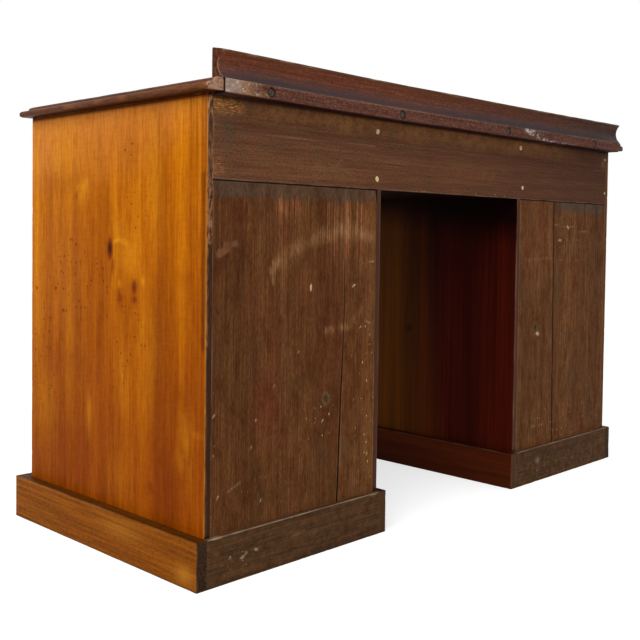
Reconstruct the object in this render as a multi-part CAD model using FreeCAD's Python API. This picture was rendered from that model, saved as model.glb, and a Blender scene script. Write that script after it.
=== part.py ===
"""Twin-pedestal kneehole writing desk with nine drawers, a moulded top and a low cove-backed gallery.

Millimetres, +Z up. The origin is on the floor at the middle of the carcass, the drawer fronts face -Y,
and the user sitting at the desk has +X on the right. Every board is its own solid.
"""
import FreeCAD, Part
import math
import os

Vector = FreeCAD.Vector

# Carcass
carcass_width = 1200.0      # outer face to outer face of the end panels
carcass_depth = 494.0       # drawer fronts to back boards
top_height = 737.0          # floor to writing surface
top_thickness = 18.0
kneehole_width = 432.0      # between the two kneehole panels
panel_thickness = 18.0
frieze_height = 124.0       # upper back board, and the tier of three shallow drawers in front of it
panel_dado_depth = 5.0      # rails, floors and bearers are housed this deep in the panels
dado_stop = 8.0             # the housings stop this far short of the front edges

# Top, its edge mouldings, the strip along its back edge and the gallery
end_overhang = 20.0
front_overhang = 10.0
rear_overhang = 28.0
moulding_width = 28.0
moulding_set_back = 3.0     # the end mouldings stop this far short of the strip's rear face
nose_height = 11.0
nose_round = 5.0
nose_land = 3.0             # flat on top of the nose, before the ogee rises
ogee_width = 8.0
ogee_land = 0.6             # small upright at the head of the ogee
strip_drop = 3.5            # the strip hangs this far below the underside of the top
gallery_thickness = 23.0    # also the width of the strip that it stands on
gallery_height = 44.0
gallery_fall = 4.0          # the top edge slopes down this much to the back
gallery_end_reach = 5.0     # the gallery runs this far over each end moulding
gallery_round = 2.0
cove_depth = 11.5
cove_land = 1.2             # small upright above and below the cove
screw_head_radius = 4.5
screw_head_depth = 2.6
screw_sink = 0.8            # heads lie this far below the surface
screw_shank_radius = 2.2
screw_length = 44.0
screw_slot_width = 1.2
screw_slot_depth = 1.2
screw_clearance = 0.1
screw_shares = (0.846, 0.328, -0.228, -0.809)       # of half the strip's length

# Back boards, which sit in rebates
back_thickness = 10.0
rebate_ledge = 10.0         # rear edge of a panel that stays outside the back boards
seam_gap = 0.8              # under the upper back board
board_gap_top = 0.8         # shrinkage gap between the two boards of a pedestal's back
right_board_gap_bottom = 4.0
left_board_gap_bottom = 1.5
right_joint_shares = (0.222, 0.25)      # joint between boards at top and bottom, from the kneehole side
left_joint_shares = (0.366, 0.396)

# Plinth
plinth_height = 73.0
plinth_thickness = 20.0
plinth_knee_thickness = 16.0
plinth_rear_proud = 8.0
block_size = 25.0
block_foot_gap = 6.0        # corner blocks stop this far above the floor
top_block_size = 20.0
top_block_length = 60.0
top_block_shares = (-0.78, -0.2, 0.2, 0.78)    # of half the carcass width

# Rails, floors and bearers
rail_thickness = 18.0
rail_depth = 60.0
bearer_width = 20.0
soffit_thickness = 8.0
stop_thickness = 6.0
stop_width = 30.0
stop_depth = 20.0
stop_gap = 0.3              # behind a closed drawer's front
stop_inset_share = 0.3      # of a drawer's width, in from each side
drawer_height_shares = (0.312, 0.333, 0.355)    # top, middle and bottom pedestal drawers

# Drawers
front_thickness = 20.0
front_gap = 1.0             # round a drawer's front
bead_width = 3.5            # raised bead round the edge of a drawer's front
bead_proud = 1.5
run_gap = 0.3               # under a drawer's sides
side_gap = 1.0
side_thickness = 9.0
side_headroom = 3.0
dovetail_lap = 5.0          # wood left in front of the front dovetails
dovetail_pitch = 40.0
pin_width = 5.0
pin_flare = 3.0             # a pin is this much wider at the tails' shoulder
back_length_gap = 32.0      # between a closed drawer and the back boards
back_headroom = 8.0
bottom_thickness = 6.0
bottom_rise = 10.0          # underside of the bottom above the sides' lower edges
bottom_groove = 4.0

# Knobs
knob_projection = 28.0      # equal to the top's rear overhang, so the carcass is in the middle
knob_radius = 19.0
knob_collar_radius = 11.5
knob_collar_length = 3.0
knob_neck_radius = 8.0
knob_neck_length = 10.0     # from the front to the narrowest place
knob_brim_length = 17.0     # from the front to the widest place
knob_face_radius = 7.0      # flat middle of the crown
knob_spigot_radius = 6.0
knob_spigot_clearance = 0.15
knob_spread_share = 0.52    # distance between a drawer's two knobs, of its width

overrun = 5.0               # cutters pass this far beyond what they cut

# Places worked out from the sizes above
x_end = carcass_width / 2
x_knee = kneehole_width / 2
bay_inner = x_knee + panel_thickness
bay_outer = x_end - panel_thickness
y_front = -carcass_depth / 2
y_back = carcass_depth / 2
y_board = y_back - back_thickness
y_rail_back = y_front + rail_depth
z_top_under = top_height - top_thickness
z_seam = z_top_under - frieze_height
z_floor_top = plinth_height + rail_thickness
z_frieze_low = z_seam + rail_thickness
z_frieze_high = z_top_under - rail_thickness
x_top = x_end + end_overhang
y_top_front = y_front - front_overhang
y_top_back = y_back + rear_overhang
x_strip = x_top - moulding_width
y_strip = y_top_back - gallery_thickness
z_strip_under = z_top_under - strip_drop
x_plinth_out = x_end + plinth_thickness
x_plinth_in = x_knee - plinth_knee_thickness
y_plinth_front = y_front - plinth_thickness
y_plinth_back = y_back + plinth_rear_proud
y_plinth_rear_board = y_plinth_back - plinth_thickness
y_drawer_back = y_board - back_length_gap

SIDES = (("left", -1), ("right", 1))
EXTRUDE_X = Vector(1, 0, 0)


def box(x0, x1, y0, y1, z0, z1):
    """A block between two corners, in any order."""
    low = Vector(min(x0, x1), min(y0, y1), min(z0, z1))
    return Part.makeBox(abs(x1 - x0), abs(y1 - y0), abs(z1 - z0), low)


def prism(points, direction):
    """A solid swept from a flat polygon along a direction."""
    return Part.Face(Part.makePolygon(list(points) + [points[0]])).extrude(direction)


def cylinder_y(x, y, z, radius, length):
    """A cylinder whose axis runs along +Y from the point given."""
    return Part.makeCylinder(radius, length, Vector(x, y, z), Vector(0, 1, 0))


def quarter(start, end, corner):
    """A quarter round from start to end, bulging towards the corner where their tangents meet."""
    centre = start + end - corner
    return Part.Arc(start, centre + (corner - centre) * math.sqrt(0.5), end)


def rail_levels():
    """Lower and upper heights of the rails and bearers of a pedestal, the frieze's among them."""
    clear = z_seam - z_floor_top - 2 * rail_thickness
    levels = [(z_seam, z_frieze_low)]
    z = z_seam
    for share in drawer_height_shares[:2]:
        z -= clear * share
        levels.append((z - rail_thickness, z))
        z -= rail_thickness
    return levels


def openings():
    """Name, centre x, width and heights of the nine drawer openings."""
    levels = rail_levels()
    centre = (bay_inner + bay_outer) / 2
    width = bay_outer - bay_inner
    found = [("frieze_centre", 0.0, kneehole_width, z_frieze_low, z_frieze_high)]
    for side, sign in SIDES:
        found.append((f"frieze_{side}", sign * centre, width, z_frieze_low, z_frieze_high))
        tops = [z_seam, levels[1][0], levels[2][0]]
        floors = [levels[1][1], levels[2][1], z_floor_top]
        for place, low, high in zip(("top", "middle", "bottom"), floors, tops):
            found.append((f"{side}_{place}", sign * centre, width, low, high))
    return found


# Panels. Housings for rails and bearers run back from a stopped front end, and the foot is notched
# behind for the rear plinth board.

def housing(x_face, towards, z0, z1):
    """The space that a rail, floor or bearer takes in a panel whose inner face is at x_face."""
    return box(x_face - towards * overrun, x_face + towards * panel_dado_depth,
               y_front + dado_stop, y_board, z0, z1)


def panel_levels():
    return [(plinth_height, z_floor_top)] + rail_levels() + [(z_frieze_high, z_top_under)]


def end_panel(sign):
    panel = box(sign * bay_outer, sign * x_end, y_front, y_back, 0, z_top_under)
    cuts = [housing(sign * bay_outer, sign, z0, z1) for z0, z1 in panel_levels()]
    cuts.append(box(sign * (bay_outer - overrun), sign * (x_end - rebate_ledge),
                    y_board, y_back + overrun, plinth_height, z_top_under + overrun))
    cuts.append(box(sign * (bay_outer - overrun), sign * (x_end + overrun),
                    y_plinth_rear_board, y_back + overrun, -overrun, plinth_height))
    return panel.cut(cuts)


def kneehole_panel(sign, through_rails):
    panel = box(sign * x_knee, sign * bay_inner, y_front, y_back, 0, z_top_under)
    cuts = [housing(sign * bay_inner, -sign, z0, z1) for z0, z1 in panel_levels()]
    cuts.append(box(sign * (x_knee + rebate_ledge), sign * (bay_inner + overrun),
                    y_board, y_back + overrun, plinth_height, z_seam))
    cuts.append(box(sign * (x_knee - overrun), sign * (bay_inner + overrun),
                    y_board, y_back + overrun, z_seam, z_top_under + overrun))
    cuts.append(box(sign * (x_knee - overrun), sign * (bay_inner + overrun),
                    y_plinth_rear_board, y_back + overrun, -overrun, plinth_height))
    cuts.append(box(sign * (x_knee - overrun), sign * (x_knee + panel_dado_depth),
                    y_rail_back, y_board, z_seam, z_seam + soffit_thickness))
    cuts.append(box(sign * (x_knee - overrun), sign * (x_knee + panel_dado_depth),
                    y_rail_back, y_board, z_frieze_high, z_top_under))
    return panel.cut(cuts + through_rails)


# Rails, pedestal floors, soffit and bearers

def tenoned_board(x0, x1, y1, z0, z1):
    """A board across an opening from the front back to y1, with stub tenons behind the stopped housings."""
    body = box(x0, x1, y_front, y1, z0, z1)
    tenons = box(x0 - panel_dado_depth, x1 + panel_dado_depth, y_front + dado_stop, y1, z0, z1)
    return body.fuse(tenons).removeSplitter()


def frieze_top_rail():
    return tenoned_board(-bay_outer, bay_outer, y_rail_back, z_frieze_high, z_top_under)


def frieze_bottom_rail():
    return tenoned_board(-bay_outer, bay_outer, y_rail_back, z_seam, z_frieze_low)


def bay_span(sign):
    return min(sign * bay_inner, sign * bay_outer), max(sign * bay_inner, sign * bay_outer)


def pedestal_rails():
    return [tenoned_board(*bay_span(sign), y_rail_back, z0, z1)
            for side, sign in SIDES for z0, z1 in rail_levels()[1:]]


def pedestal_floor(sign):
    return tenoned_board(*bay_span(sign), y_board, plinth_height, z_floor_top)


def kneehole_soffit():
    return box(-x_knee - panel_dado_depth, x_knee + panel_dado_depth, y_rail_back, y_board,
               z_seam, z_seam + soffit_thickness)


def drawer_bearers():
    """Runners under the drawers' sides at each rail, and kickers over the frieze drawers."""

    def bearer(x_housed, x_free, z0, z1):
        return box(x_housed, x_free, y_rail_back, y_board, z0, z1)

    bearers = []
    for side, sign in SIDES:
        for z0, z1 in rail_levels() + [(z_frieze_high, z_top_under)]:
            for face, into in ((bay_outer, 1), (bay_inner, -1)):
                x_housed = sign * (face + into * panel_dado_depth)
                bearers.append(bearer(x_housed, sign * (face - into * bearer_width), z0, z1))
        x_free = sign * (x_knee - bearer_width)
        bearers.append(bearer(sign * x_knee, x_free, z_seam + soffit_thickness, z_frieze_low))
        bearers.append(bearer(sign * (x_knee + panel_dado_depth), x_free, z_frieze_high, z_top_under))
    return bearers


def drawer_stops():
    """Two small blocks on the rail or floor behind each drawer's front."""
    stops = []
    y0 = y_front + front_thickness + stop_gap
    for name, x, width, low, high in openings():
        for sign in (-1, 1):
            middle = x + sign * width * (0.5 - stop_inset_share)
            stops.append(box(middle - stop_width / 2, middle + stop_width / 2, y0, y0 + stop_depth,
                             low, low + stop_thickness))
    return stops


# Back boards

def upper_back_board():
    return box(-x_end + rebate_ledge, x_end - rebate_ledge, y_board, y_back, z_seam, z_top_under)


def back_boards(sign, shares, gap_bottom):
    """The inner and outer boards of a pedestal's back, parted by a shrinkage gap that widens downwards."""
    inner = x_knee + rebate_ledge
    outer = x_end - rebate_ledge
    joint_top, joint_bottom = (inner + share * (outer - inner) for share in shares)
    z0, z1 = plinth_height, z_seam - seam_gap

    def board(edge, side_of_joint):
        foot = joint_bottom + side_of_joint * gap_bottom / 2
        head = joint_top + side_of_joint * board_gap_top / 2
        corners = [(edge, z0), (foot, z0), (head, z1), (edge, z1)]
        return prism([Vector(sign * x, y_board, z) for x, z in corners], Vector(0, back_thickness, 0))

    return board(inner, -1), board(outer, 1)


# Plinth boards: mitred at the two front corners, and the rear board fits between the side boards.

def mitre_cutter(x_corner, y_corner, inwards, size, off_side):
    """The half to take off a board at a front corner of the mitre's size. inwards is the way along X from
    the corner into the work, and off_side is true for a side board, false for a front board."""
    low = Vector(x_corner - inwards * overrun, y_corner - overrun, -overrun)
    across = Vector(inwards * (size + 2 * overrun), 0, 0)
    along = Vector(0, size + 2 * overrun, 0)
    third = low + (across if off_side else along)
    return prism([low, third, low + across + along], Vector(0, 0, top_height + 2 * overrun))


def plinth(sign):
    """The four boards of one pedestal's plinth, by place. The front board is cut to its mitred sides."""
    outer = box(sign * x_end, sign * x_plinth_out, y_plinth_front, y_plinth_back, 0, plinth_height)
    inner = box(sign * x_plinth_in, sign * x_knee, y_plinth_front, y_plinth_back, 0, plinth_height)
    front = box(sign * x_plinth_in, sign * x_plinth_out, y_plinth_front, y_front, 0, plinth_height)
    rear = box(sign * x_knee, sign * x_end, y_plinth_rear_board, y_plinth_back, 0, plinth_height)
    outer = outer.cut(mitre_cutter(sign * x_plinth_out, y_plinth_front, -sign, plinth_thickness, True))
    inner = inner.cut(mitre_cutter(sign * x_plinth_in, y_plinth_front, sign, plinth_knee_thickness, True))
    return {"outer": outer, "inner": inner, "front": front.cut([outer, inner]), "rear": rear}


def glue_blocks():
    """Square blocks in the plinths' corners, and blocks that hold the top to the upper back board."""
    blocks = []
    for side, sign in SIDES:
        for face, into in ((bay_inner, 1), (bay_outer, -1)):
            for y, inwards in ((y_front, 1), (y_plinth_rear_board, -1)):
                blocks.append(box(sign * face, sign * (face + into * block_size),
                                  y, y + inwards * block_size, block_foot_gap, plinth_height))
    for share in top_block_shares:
        x = share * x_end
        blocks.append(box(x - top_block_length / 2, x + top_block_length / 2,
                          y_board - top_block_size, y_board, z_top_under - top_block_size, z_top_under))
    return blocks


# Top, mouldings, strip, gallery and screws

def moulding_face(place):
    """The edge moulding's section: a rounded nose, a narrow flat, then an ogee up to the top, made of two
    equal arcs that start level. place turns outward distance and height above the top's underside into a
    point in space."""
    crown = moulding_width - nose_land - nose_round
    rise = top_thickness - nose_height - ogee_land
    head = crown - ogee_width
    ogee_top = nose_height + rise
    radius = (ogee_width ** 2 + rise ** 2) / (4 * rise)
    half_turn = math.atan2(rise, ogee_width)

    def swept(turn):
        """How far an arc has gone sideways and up after it has turned so far."""
        return radius * math.sin(turn), radius * (1 - math.cos(turn))

    side, up = swept(half_turn)
    hollow = place(crown - side, nose_height + up)
    round_over = place(head + side, ogee_top - up)
    middle = place(crown - ogee_width / 2, nose_height + rise / 2)
    out = moulding_width
    inner = moulding_width - nose_round
    lines = [
        Part.LineSegment(place(0, 0), place(inner, 0)),
        quarter(place(inner, 0), place(out, nose_round), place(out, 0)),
        Part.LineSegment(place(out, nose_round), place(out, nose_height - nose_round)),
        quarter(place(out, nose_height - nose_round), place(inner, nose_height), place(out, nose_height)),
        Part.LineSegment(place(inner, nose_height), place(crown, nose_height)),
        Part.Arc(place(crown, nose_height), hollow, middle),
        Part.Arc(middle, round_over, place(head, ogee_top)),
        Part.LineSegment(place(head, ogee_top), place(head, top_thickness)),
        Part.LineSegment(place(head, top_thickness), place(0, top_thickness)),
        Part.LineSegment(place(0, top_thickness), place(0, 0)),
    ]
    return Part.Face(Part.Wire([line.toShape() for line in lines]))


def top_moulding_side(sign):
    face = moulding_face(lambda out, up: Vector(sign * (x_strip + out), y_top_front, z_top_under + up))
    solid = face.extrude(Vector(0, y_top_back - moulding_set_back - y_top_front, 0))
    return solid.cut(mitre_cutter(sign * x_top, y_top_front, -sign, moulding_width, True))


def top_moulding_front():
    inner = y_top_front + moulding_width
    face = moulding_face(lambda out, up: Vector(-x_top, inner - out, z_top_under + up))
    solid = face.extrude(EXTRUDE_X * (2 * x_top))
    return solid.cut([mitre_cutter(sign * x_top, y_top_front, -sign, moulding_width, False)
                      for sign in (-1, 1)])


def strip_screws(grow=0.0):
    """Countersunk screws through the middle of the strip into the top. grow gives their holes."""
    screws = []
    z = (z_strip_under + top_height) / 2
    head = screw_head_radius + grow
    shank = screw_shank_radius + grow
    y_head = y_top_back - screw_sink
    inwards = Vector(0, -1, 0)
    for share in screw_shares:
        x = share * x_strip
        cone = Part.makeCone(head, shank, screw_head_depth, Vector(x, y_head, z), inwards)
        body = cone.fuse(Part.makeCylinder(shank, screw_length + grow, Vector(x, y_head, z), inwards))
        if grow:
            body = body.fuse(cylinder_y(x, y_head, z, head, screw_sink + overrun))
        else:
            body = body.cut(box(x - head, x + head, y_head - screw_slot_depth, y_head + overrun,
                                z - screw_slot_width / 2, z + screw_slot_width / 2))
        screws.append(body)
    return screws


def writing_top(holes):
    return box(-x_strip, x_strip, y_top_front + moulding_width, y_strip, z_top_under, top_height).cut(holes)


def rear_edge_strip(holes):
    return box(-x_strip, x_strip, y_strip, y_top_back, z_strip_under, top_height).cut(holes)


def gallery():
    """A low board with an upright front, a top edge that falls to the back, and a hollow back."""
    z0, z1 = top_height, top_height + gallery_height
    y0, y1 = y_strip, y_top_back
    x = -x_strip - gallery_end_reach
    tip = z1 - gallery_fall
    cove_head, cove_foot = tip - cove_land, z0 + cove_land

    def place(y, z):
        return Vector(x, y, z)

    hollow = place(y1 - cove_depth, (cove_head + cove_foot) / 2)
    lines = [
        Part.LineSegment(place(y0, z0), place(y0, z1 - gallery_round)),
        quarter(place(y0, z1 - gallery_round), place(y0 + gallery_round, z1), place(y0, z1)),
        Part.LineSegment(place(y0 + gallery_round, z1), place(y1, tip)),
        Part.LineSegment(place(y1, tip), place(y1, cove_head)),
        Part.Arc(place(y1, cove_head), hollow, place(y1, cove_foot)),
        Part.LineSegment(place(y1, cove_foot), place(y1, z0)),
        Part.LineSegment(place(y1, z0), place(y0, z0)),
    ]
    face = Part.Face(Part.Wire([line.toShape() for line in lines]))
    return face.extrude(EXTRUDE_X * (-2 * x))


# Drawers: lapped dovetails at the front, through dovetails at the back, and a bottom housed in grooves
# that slides in under the back board.

def pins(x0, x1, y_end, y_shoulder, z0, z1):
    """The pins between the tails at one end of a drawer's side: narrow at the end, wide at the shoulder."""
    tails = max(2, round((z1 - z0) / dovetail_pitch))
    narrow = pin_width / 2
    wide = narrow + pin_flare / 2
    found = []
    for i in range(tails + 1):
        z = z0 + (z1 - z0) * i / tails
        corners = [(y_end, z - narrow), (y_end, z + narrow), (y_shoulder, z + wide), (y_shoulder, z - wide)]
        found.append(prism([Vector(x0, y, h) for y, h in corners], EXTRUDE_X * (x1 - x0)))
    return found


def drawer(name, x, width, low, high):
    """The front, the box's four boards and the two knobs of one drawer."""
    half = width / 2 - side_gap
    half_front = width / 2 - front_gap
    side_low, side_high = low + run_gap, high - side_headroom
    bottom_low = side_low + bottom_rise
    bottom_high = bottom_low + bottom_thickness
    y_lap = y_front + dovetail_lap
    y_inner = y_front + front_thickness
    y_rear = y_drawer_back
    back_high = side_high - back_headroom

    y_back_face = y_rear - side_thickness
    sides = []
    for sign in (-1, 1):
        x0 = min(x + sign * half, x + sign * (half - side_thickness))
        x1 = x0 + side_thickness
        plate = box(x0, x1, y_lap, y_rear, side_low, side_high)
        front_pins = pins(x0, x1, y_lap, y_inner, low + front_gap, side_high)
        rear_pins = pins(x0, x1, y_rear, y_back_face, bottom_high, back_high)
        above = box(x0, x1, y_back_face, y_rear, back_high, side_high + overrun)
        below = box(x0, x1, y_back_face, y_rear, side_low - overrun, bottom_high)
        rear_pins = [pin.cut([above, below]) for pin in rear_pins]
        sides.append(plate.cut(front_pins + rear_pins))

    bottom = box(x - half + side_thickness - bottom_groove, x + half - side_thickness + bottom_groove,
                 y_inner - bottom_groove, y_rear, bottom_low, bottom_high)
    sides = [side.cut(bottom) for side in sides]
    back = box(x - half, x + half, y_back_face, y_rear, bottom_high, back_high).cut(sides)
    front_low, front_high = low + front_gap, high - front_gap
    front = box(x - half_front, x + half_front, y_front - bead_proud, y_inner, front_low, front_high)
    half_field = half_front - bead_width
    field = box(x - half_field, x + half_field, y_front - bead_proud - overrun, y_front,
                front_low + bead_width, front_high - bead_width)
    front = front.cut(sides + [bottom, field])
    knob_places = [Vector(x + sign * width * knob_spread_share / 2, y_front, (low + high) / 2)
                   for sign in (-1, 1)]
    holes = [cylinder_y(p.x, p.y - overrun, p.z, knob_spigot_radius + knob_spigot_clearance,
                        front_thickness + 2 * overrun) for p in knob_places]
    return front.cut(holes), sides + [back, bottom], [turned_knob(p) for p in knob_places]


def turned_knob(place):
    """A mushroom knob turned with its collar, waist and spigot about the line it stands out on."""

    def point(out, radius):
        return Vector(radius, -out, 0)

    tail = -front_thickness
    collar = point(knob_collar_length, knob_collar_radius)
    neck = point(knob_neck_length, knob_neck_radius)
    brim = point(knob_brim_length, knob_radius)
    crown = point(knob_projection, knob_face_radius)
    lines = [
        Part.LineSegment(point(tail, 0), point(tail, knob_spigot_radius)),
        Part.LineSegment(point(tail, knob_spigot_radius), point(0, knob_spigot_radius)),
        Part.LineSegment(point(0, knob_spigot_radius), point(0, knob_collar_radius)),
        Part.LineSegment(point(0, knob_collar_radius), collar),
        quarter(collar, neck, point(knob_collar_length, knob_neck_radius)),
        quarter(neck, brim, point(knob_brim_length, knob_neck_radius)),
        quarter(brim, crown, point(knob_projection, knob_radius)),
        Part.LineSegment(crown, point(knob_projection, 0)),
        Part.LineSegment(point(knob_projection, 0), point(tail, 0)),
    ]
    face = Part.Face(Part.Wire([line.toShape() for line in lines]))
    knob = face.revolve(Vector(0, 0, 0), Vector(0, 1, 0), 360)
    knob.translate(place)
    return knob


def export(name, solids):
    """Writes one node's file. Several solids go into it as a compound."""
    solids = solids if isinstance(solids, (list, tuple)) else [solids]
    pieces = [s for shape in solids for s in shape.Solids]
    for piece in pieces:
        if not piece.isValid() or piece.Volume <= 0:
            raise ValueError(f"{name} has a bad solid")
    shape = pieces[0] if len(pieces) == 1 else Part.makeCompound(pieces)
    shape.exportStep(os.path.join("parts", name + ".step"))
    print(name, len(pieces), "solids")


def main():
    os.makedirs("parts", exist_ok=True)
    screw_holes = strip_screws(screw_clearance)
    export("writing_top", writing_top(screw_holes))
    export("top_moulding_front", top_moulding_front())
    export("rear_edge_strip", rear_edge_strip(screw_holes))
    export("rear_strip_screws", strip_screws())
    export("gallery", gallery())

    top_rail, bottom_rail = frieze_top_rail(), frieze_bottom_rail()
    export("frieze_top_rail", top_rail)
    export("frieze_bottom_rail", bottom_rail)
    export("pedestal_rails", pedestal_rails())
    export("kneehole_soffit", kneehole_soffit())
    export("drawer_bearers", drawer_bearers())
    export("drawer_stops", drawer_stops())
    export("glue_blocks", glue_blocks())
    export("upper_back_board", upper_back_board())
    joints = {"left": (left_joint_shares, left_board_gap_bottom),
              "right": (right_joint_shares, right_board_gap_bottom)}
    for side, sign in SIDES:
        export(f"top_moulding_{side}", top_moulding_side(sign))
        export(f"end_panel_{side}", end_panel(sign))
        export(f"kneehole_panel_{side}", kneehole_panel(sign, [top_rail, bottom_rail]))
        export(f"pedestal_floor_{side}", pedestal_floor(sign))
        for place, board in plinth(sign).items():
            export(f"plinth_{side}_{place}", board)
        inner, outer = back_boards(sign, *joints[side])
        export(f"back_board_{side}_inner", inner)
        export(f"back_board_{side}_outer", outer)

    for name, x, width, low, high in openings():
        front, boards, knobs = drawer(name, x, width, low, high)
        export(f"drawer_front_{name}", front)
        export(f"drawer_box_{name}", boards)
        export(f"knobs_{name}", knobs)


main()
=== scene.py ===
import math

import bpy
import numpy as np
from mathutils import Matrix, Vector


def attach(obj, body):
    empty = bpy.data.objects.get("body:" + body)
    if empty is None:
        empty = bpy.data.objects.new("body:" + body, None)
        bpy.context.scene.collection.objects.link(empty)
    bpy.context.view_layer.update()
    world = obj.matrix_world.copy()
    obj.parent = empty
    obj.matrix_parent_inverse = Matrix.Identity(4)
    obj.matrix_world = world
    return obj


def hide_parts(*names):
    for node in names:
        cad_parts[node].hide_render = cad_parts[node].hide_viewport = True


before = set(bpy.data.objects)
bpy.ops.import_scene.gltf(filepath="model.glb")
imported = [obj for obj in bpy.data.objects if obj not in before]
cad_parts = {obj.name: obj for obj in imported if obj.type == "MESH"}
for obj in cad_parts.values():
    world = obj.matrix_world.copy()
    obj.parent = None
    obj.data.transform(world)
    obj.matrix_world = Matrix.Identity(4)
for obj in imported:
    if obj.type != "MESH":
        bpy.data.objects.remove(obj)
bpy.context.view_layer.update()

# Camera. It stands behind the desk, off the user's right-hand end and a little above half its height, and looks
# almost level. Its place, turn and lens were matched to the desk's own edges in the photograph.
CAMERA_PLACE = Vector((1.4634, 1.3027, 0.5157))
CAMERA_AZIMUTH, CAMERA_ELEVATION, CAMERA_ROLL = (math.radians(turn) for turn in (134.696, 1.938, 0.707))
LENS, SENSOR = 53.17, 36.0
SHIFT_RIGHT, SHIFT_UP = 0.0216, -0.0827


def in_scene(name, data):
    """A new object at the origin, unturned and unscaled."""
    thing = bpy.data.objects.new(name, data)
    bpy.context.scene.collection.objects.link(thing)
    return thing


level = math.cos(CAMERA_ELEVATION)
backwards = Vector((math.sin(CAMERA_AZIMUTH) * level, -math.cos(CAMERA_AZIMUTH) * level, math.sin(CAMERA_ELEVATION)))
flat_right = Vector((0, 0, 1)).cross(backwards).normalized()
flat_up = backwards.cross(flat_right)
right = flat_right * math.cos(CAMERA_ROLL) + flat_up * math.sin(CAMERA_ROLL)
up = flat_up * math.cos(CAMERA_ROLL) - flat_right * math.sin(CAMERA_ROLL)
camera = in_scene("camera", bpy.data.cameras.new("camera"))
camera.data.sensor_fit = "HORIZONTAL"
camera.data.sensor_width = SENSOR
camera.data.lens = LENS
camera.data.shift_x, camera.data.shift_y = SHIFT_RIGHT, SHIFT_UP
camera.matrix_world = Matrix.Translation(CAMERA_PLACE) @ Matrix((right, up, backwards)).transposed().to_4x4()
bpy.context.scene.camera = camera
bpy.context.scene.view_settings.view_transform = "Standard"

# Room. A wide white floor, an even white sky and one large soft lamp high on the side of the near end. What the
# camera and polished wood see of the sky is plain white; what lights the wood is a little weaker.
FLOOR_HALF = 30.0
SKY_LIGHT = 0.74
FLOOR_WHITE, FLOOR_GLOW = (0.6, 0.6, 0.6, 1.0), 0.57
LAMP_PLACE, LAMP_AIM = Vector((3.4, 1.6, 3.2)), Vector((0.1, 0.0, 0.3))
LAMP_SIDE, LAMP_WATTS = 3.0, 150.0


def paint(red, green, blue):
    """A colour as it looks on screen, 0 to 255 each, turned into the light that it gives back."""
    shares = (red / 255, green / 255, blue / 255)
    return tuple(s / 12.92 if s <= 0.04045 else ((s + 0.055) / 1.055) ** 2.4 for s in shares) + (1.0,)


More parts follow.
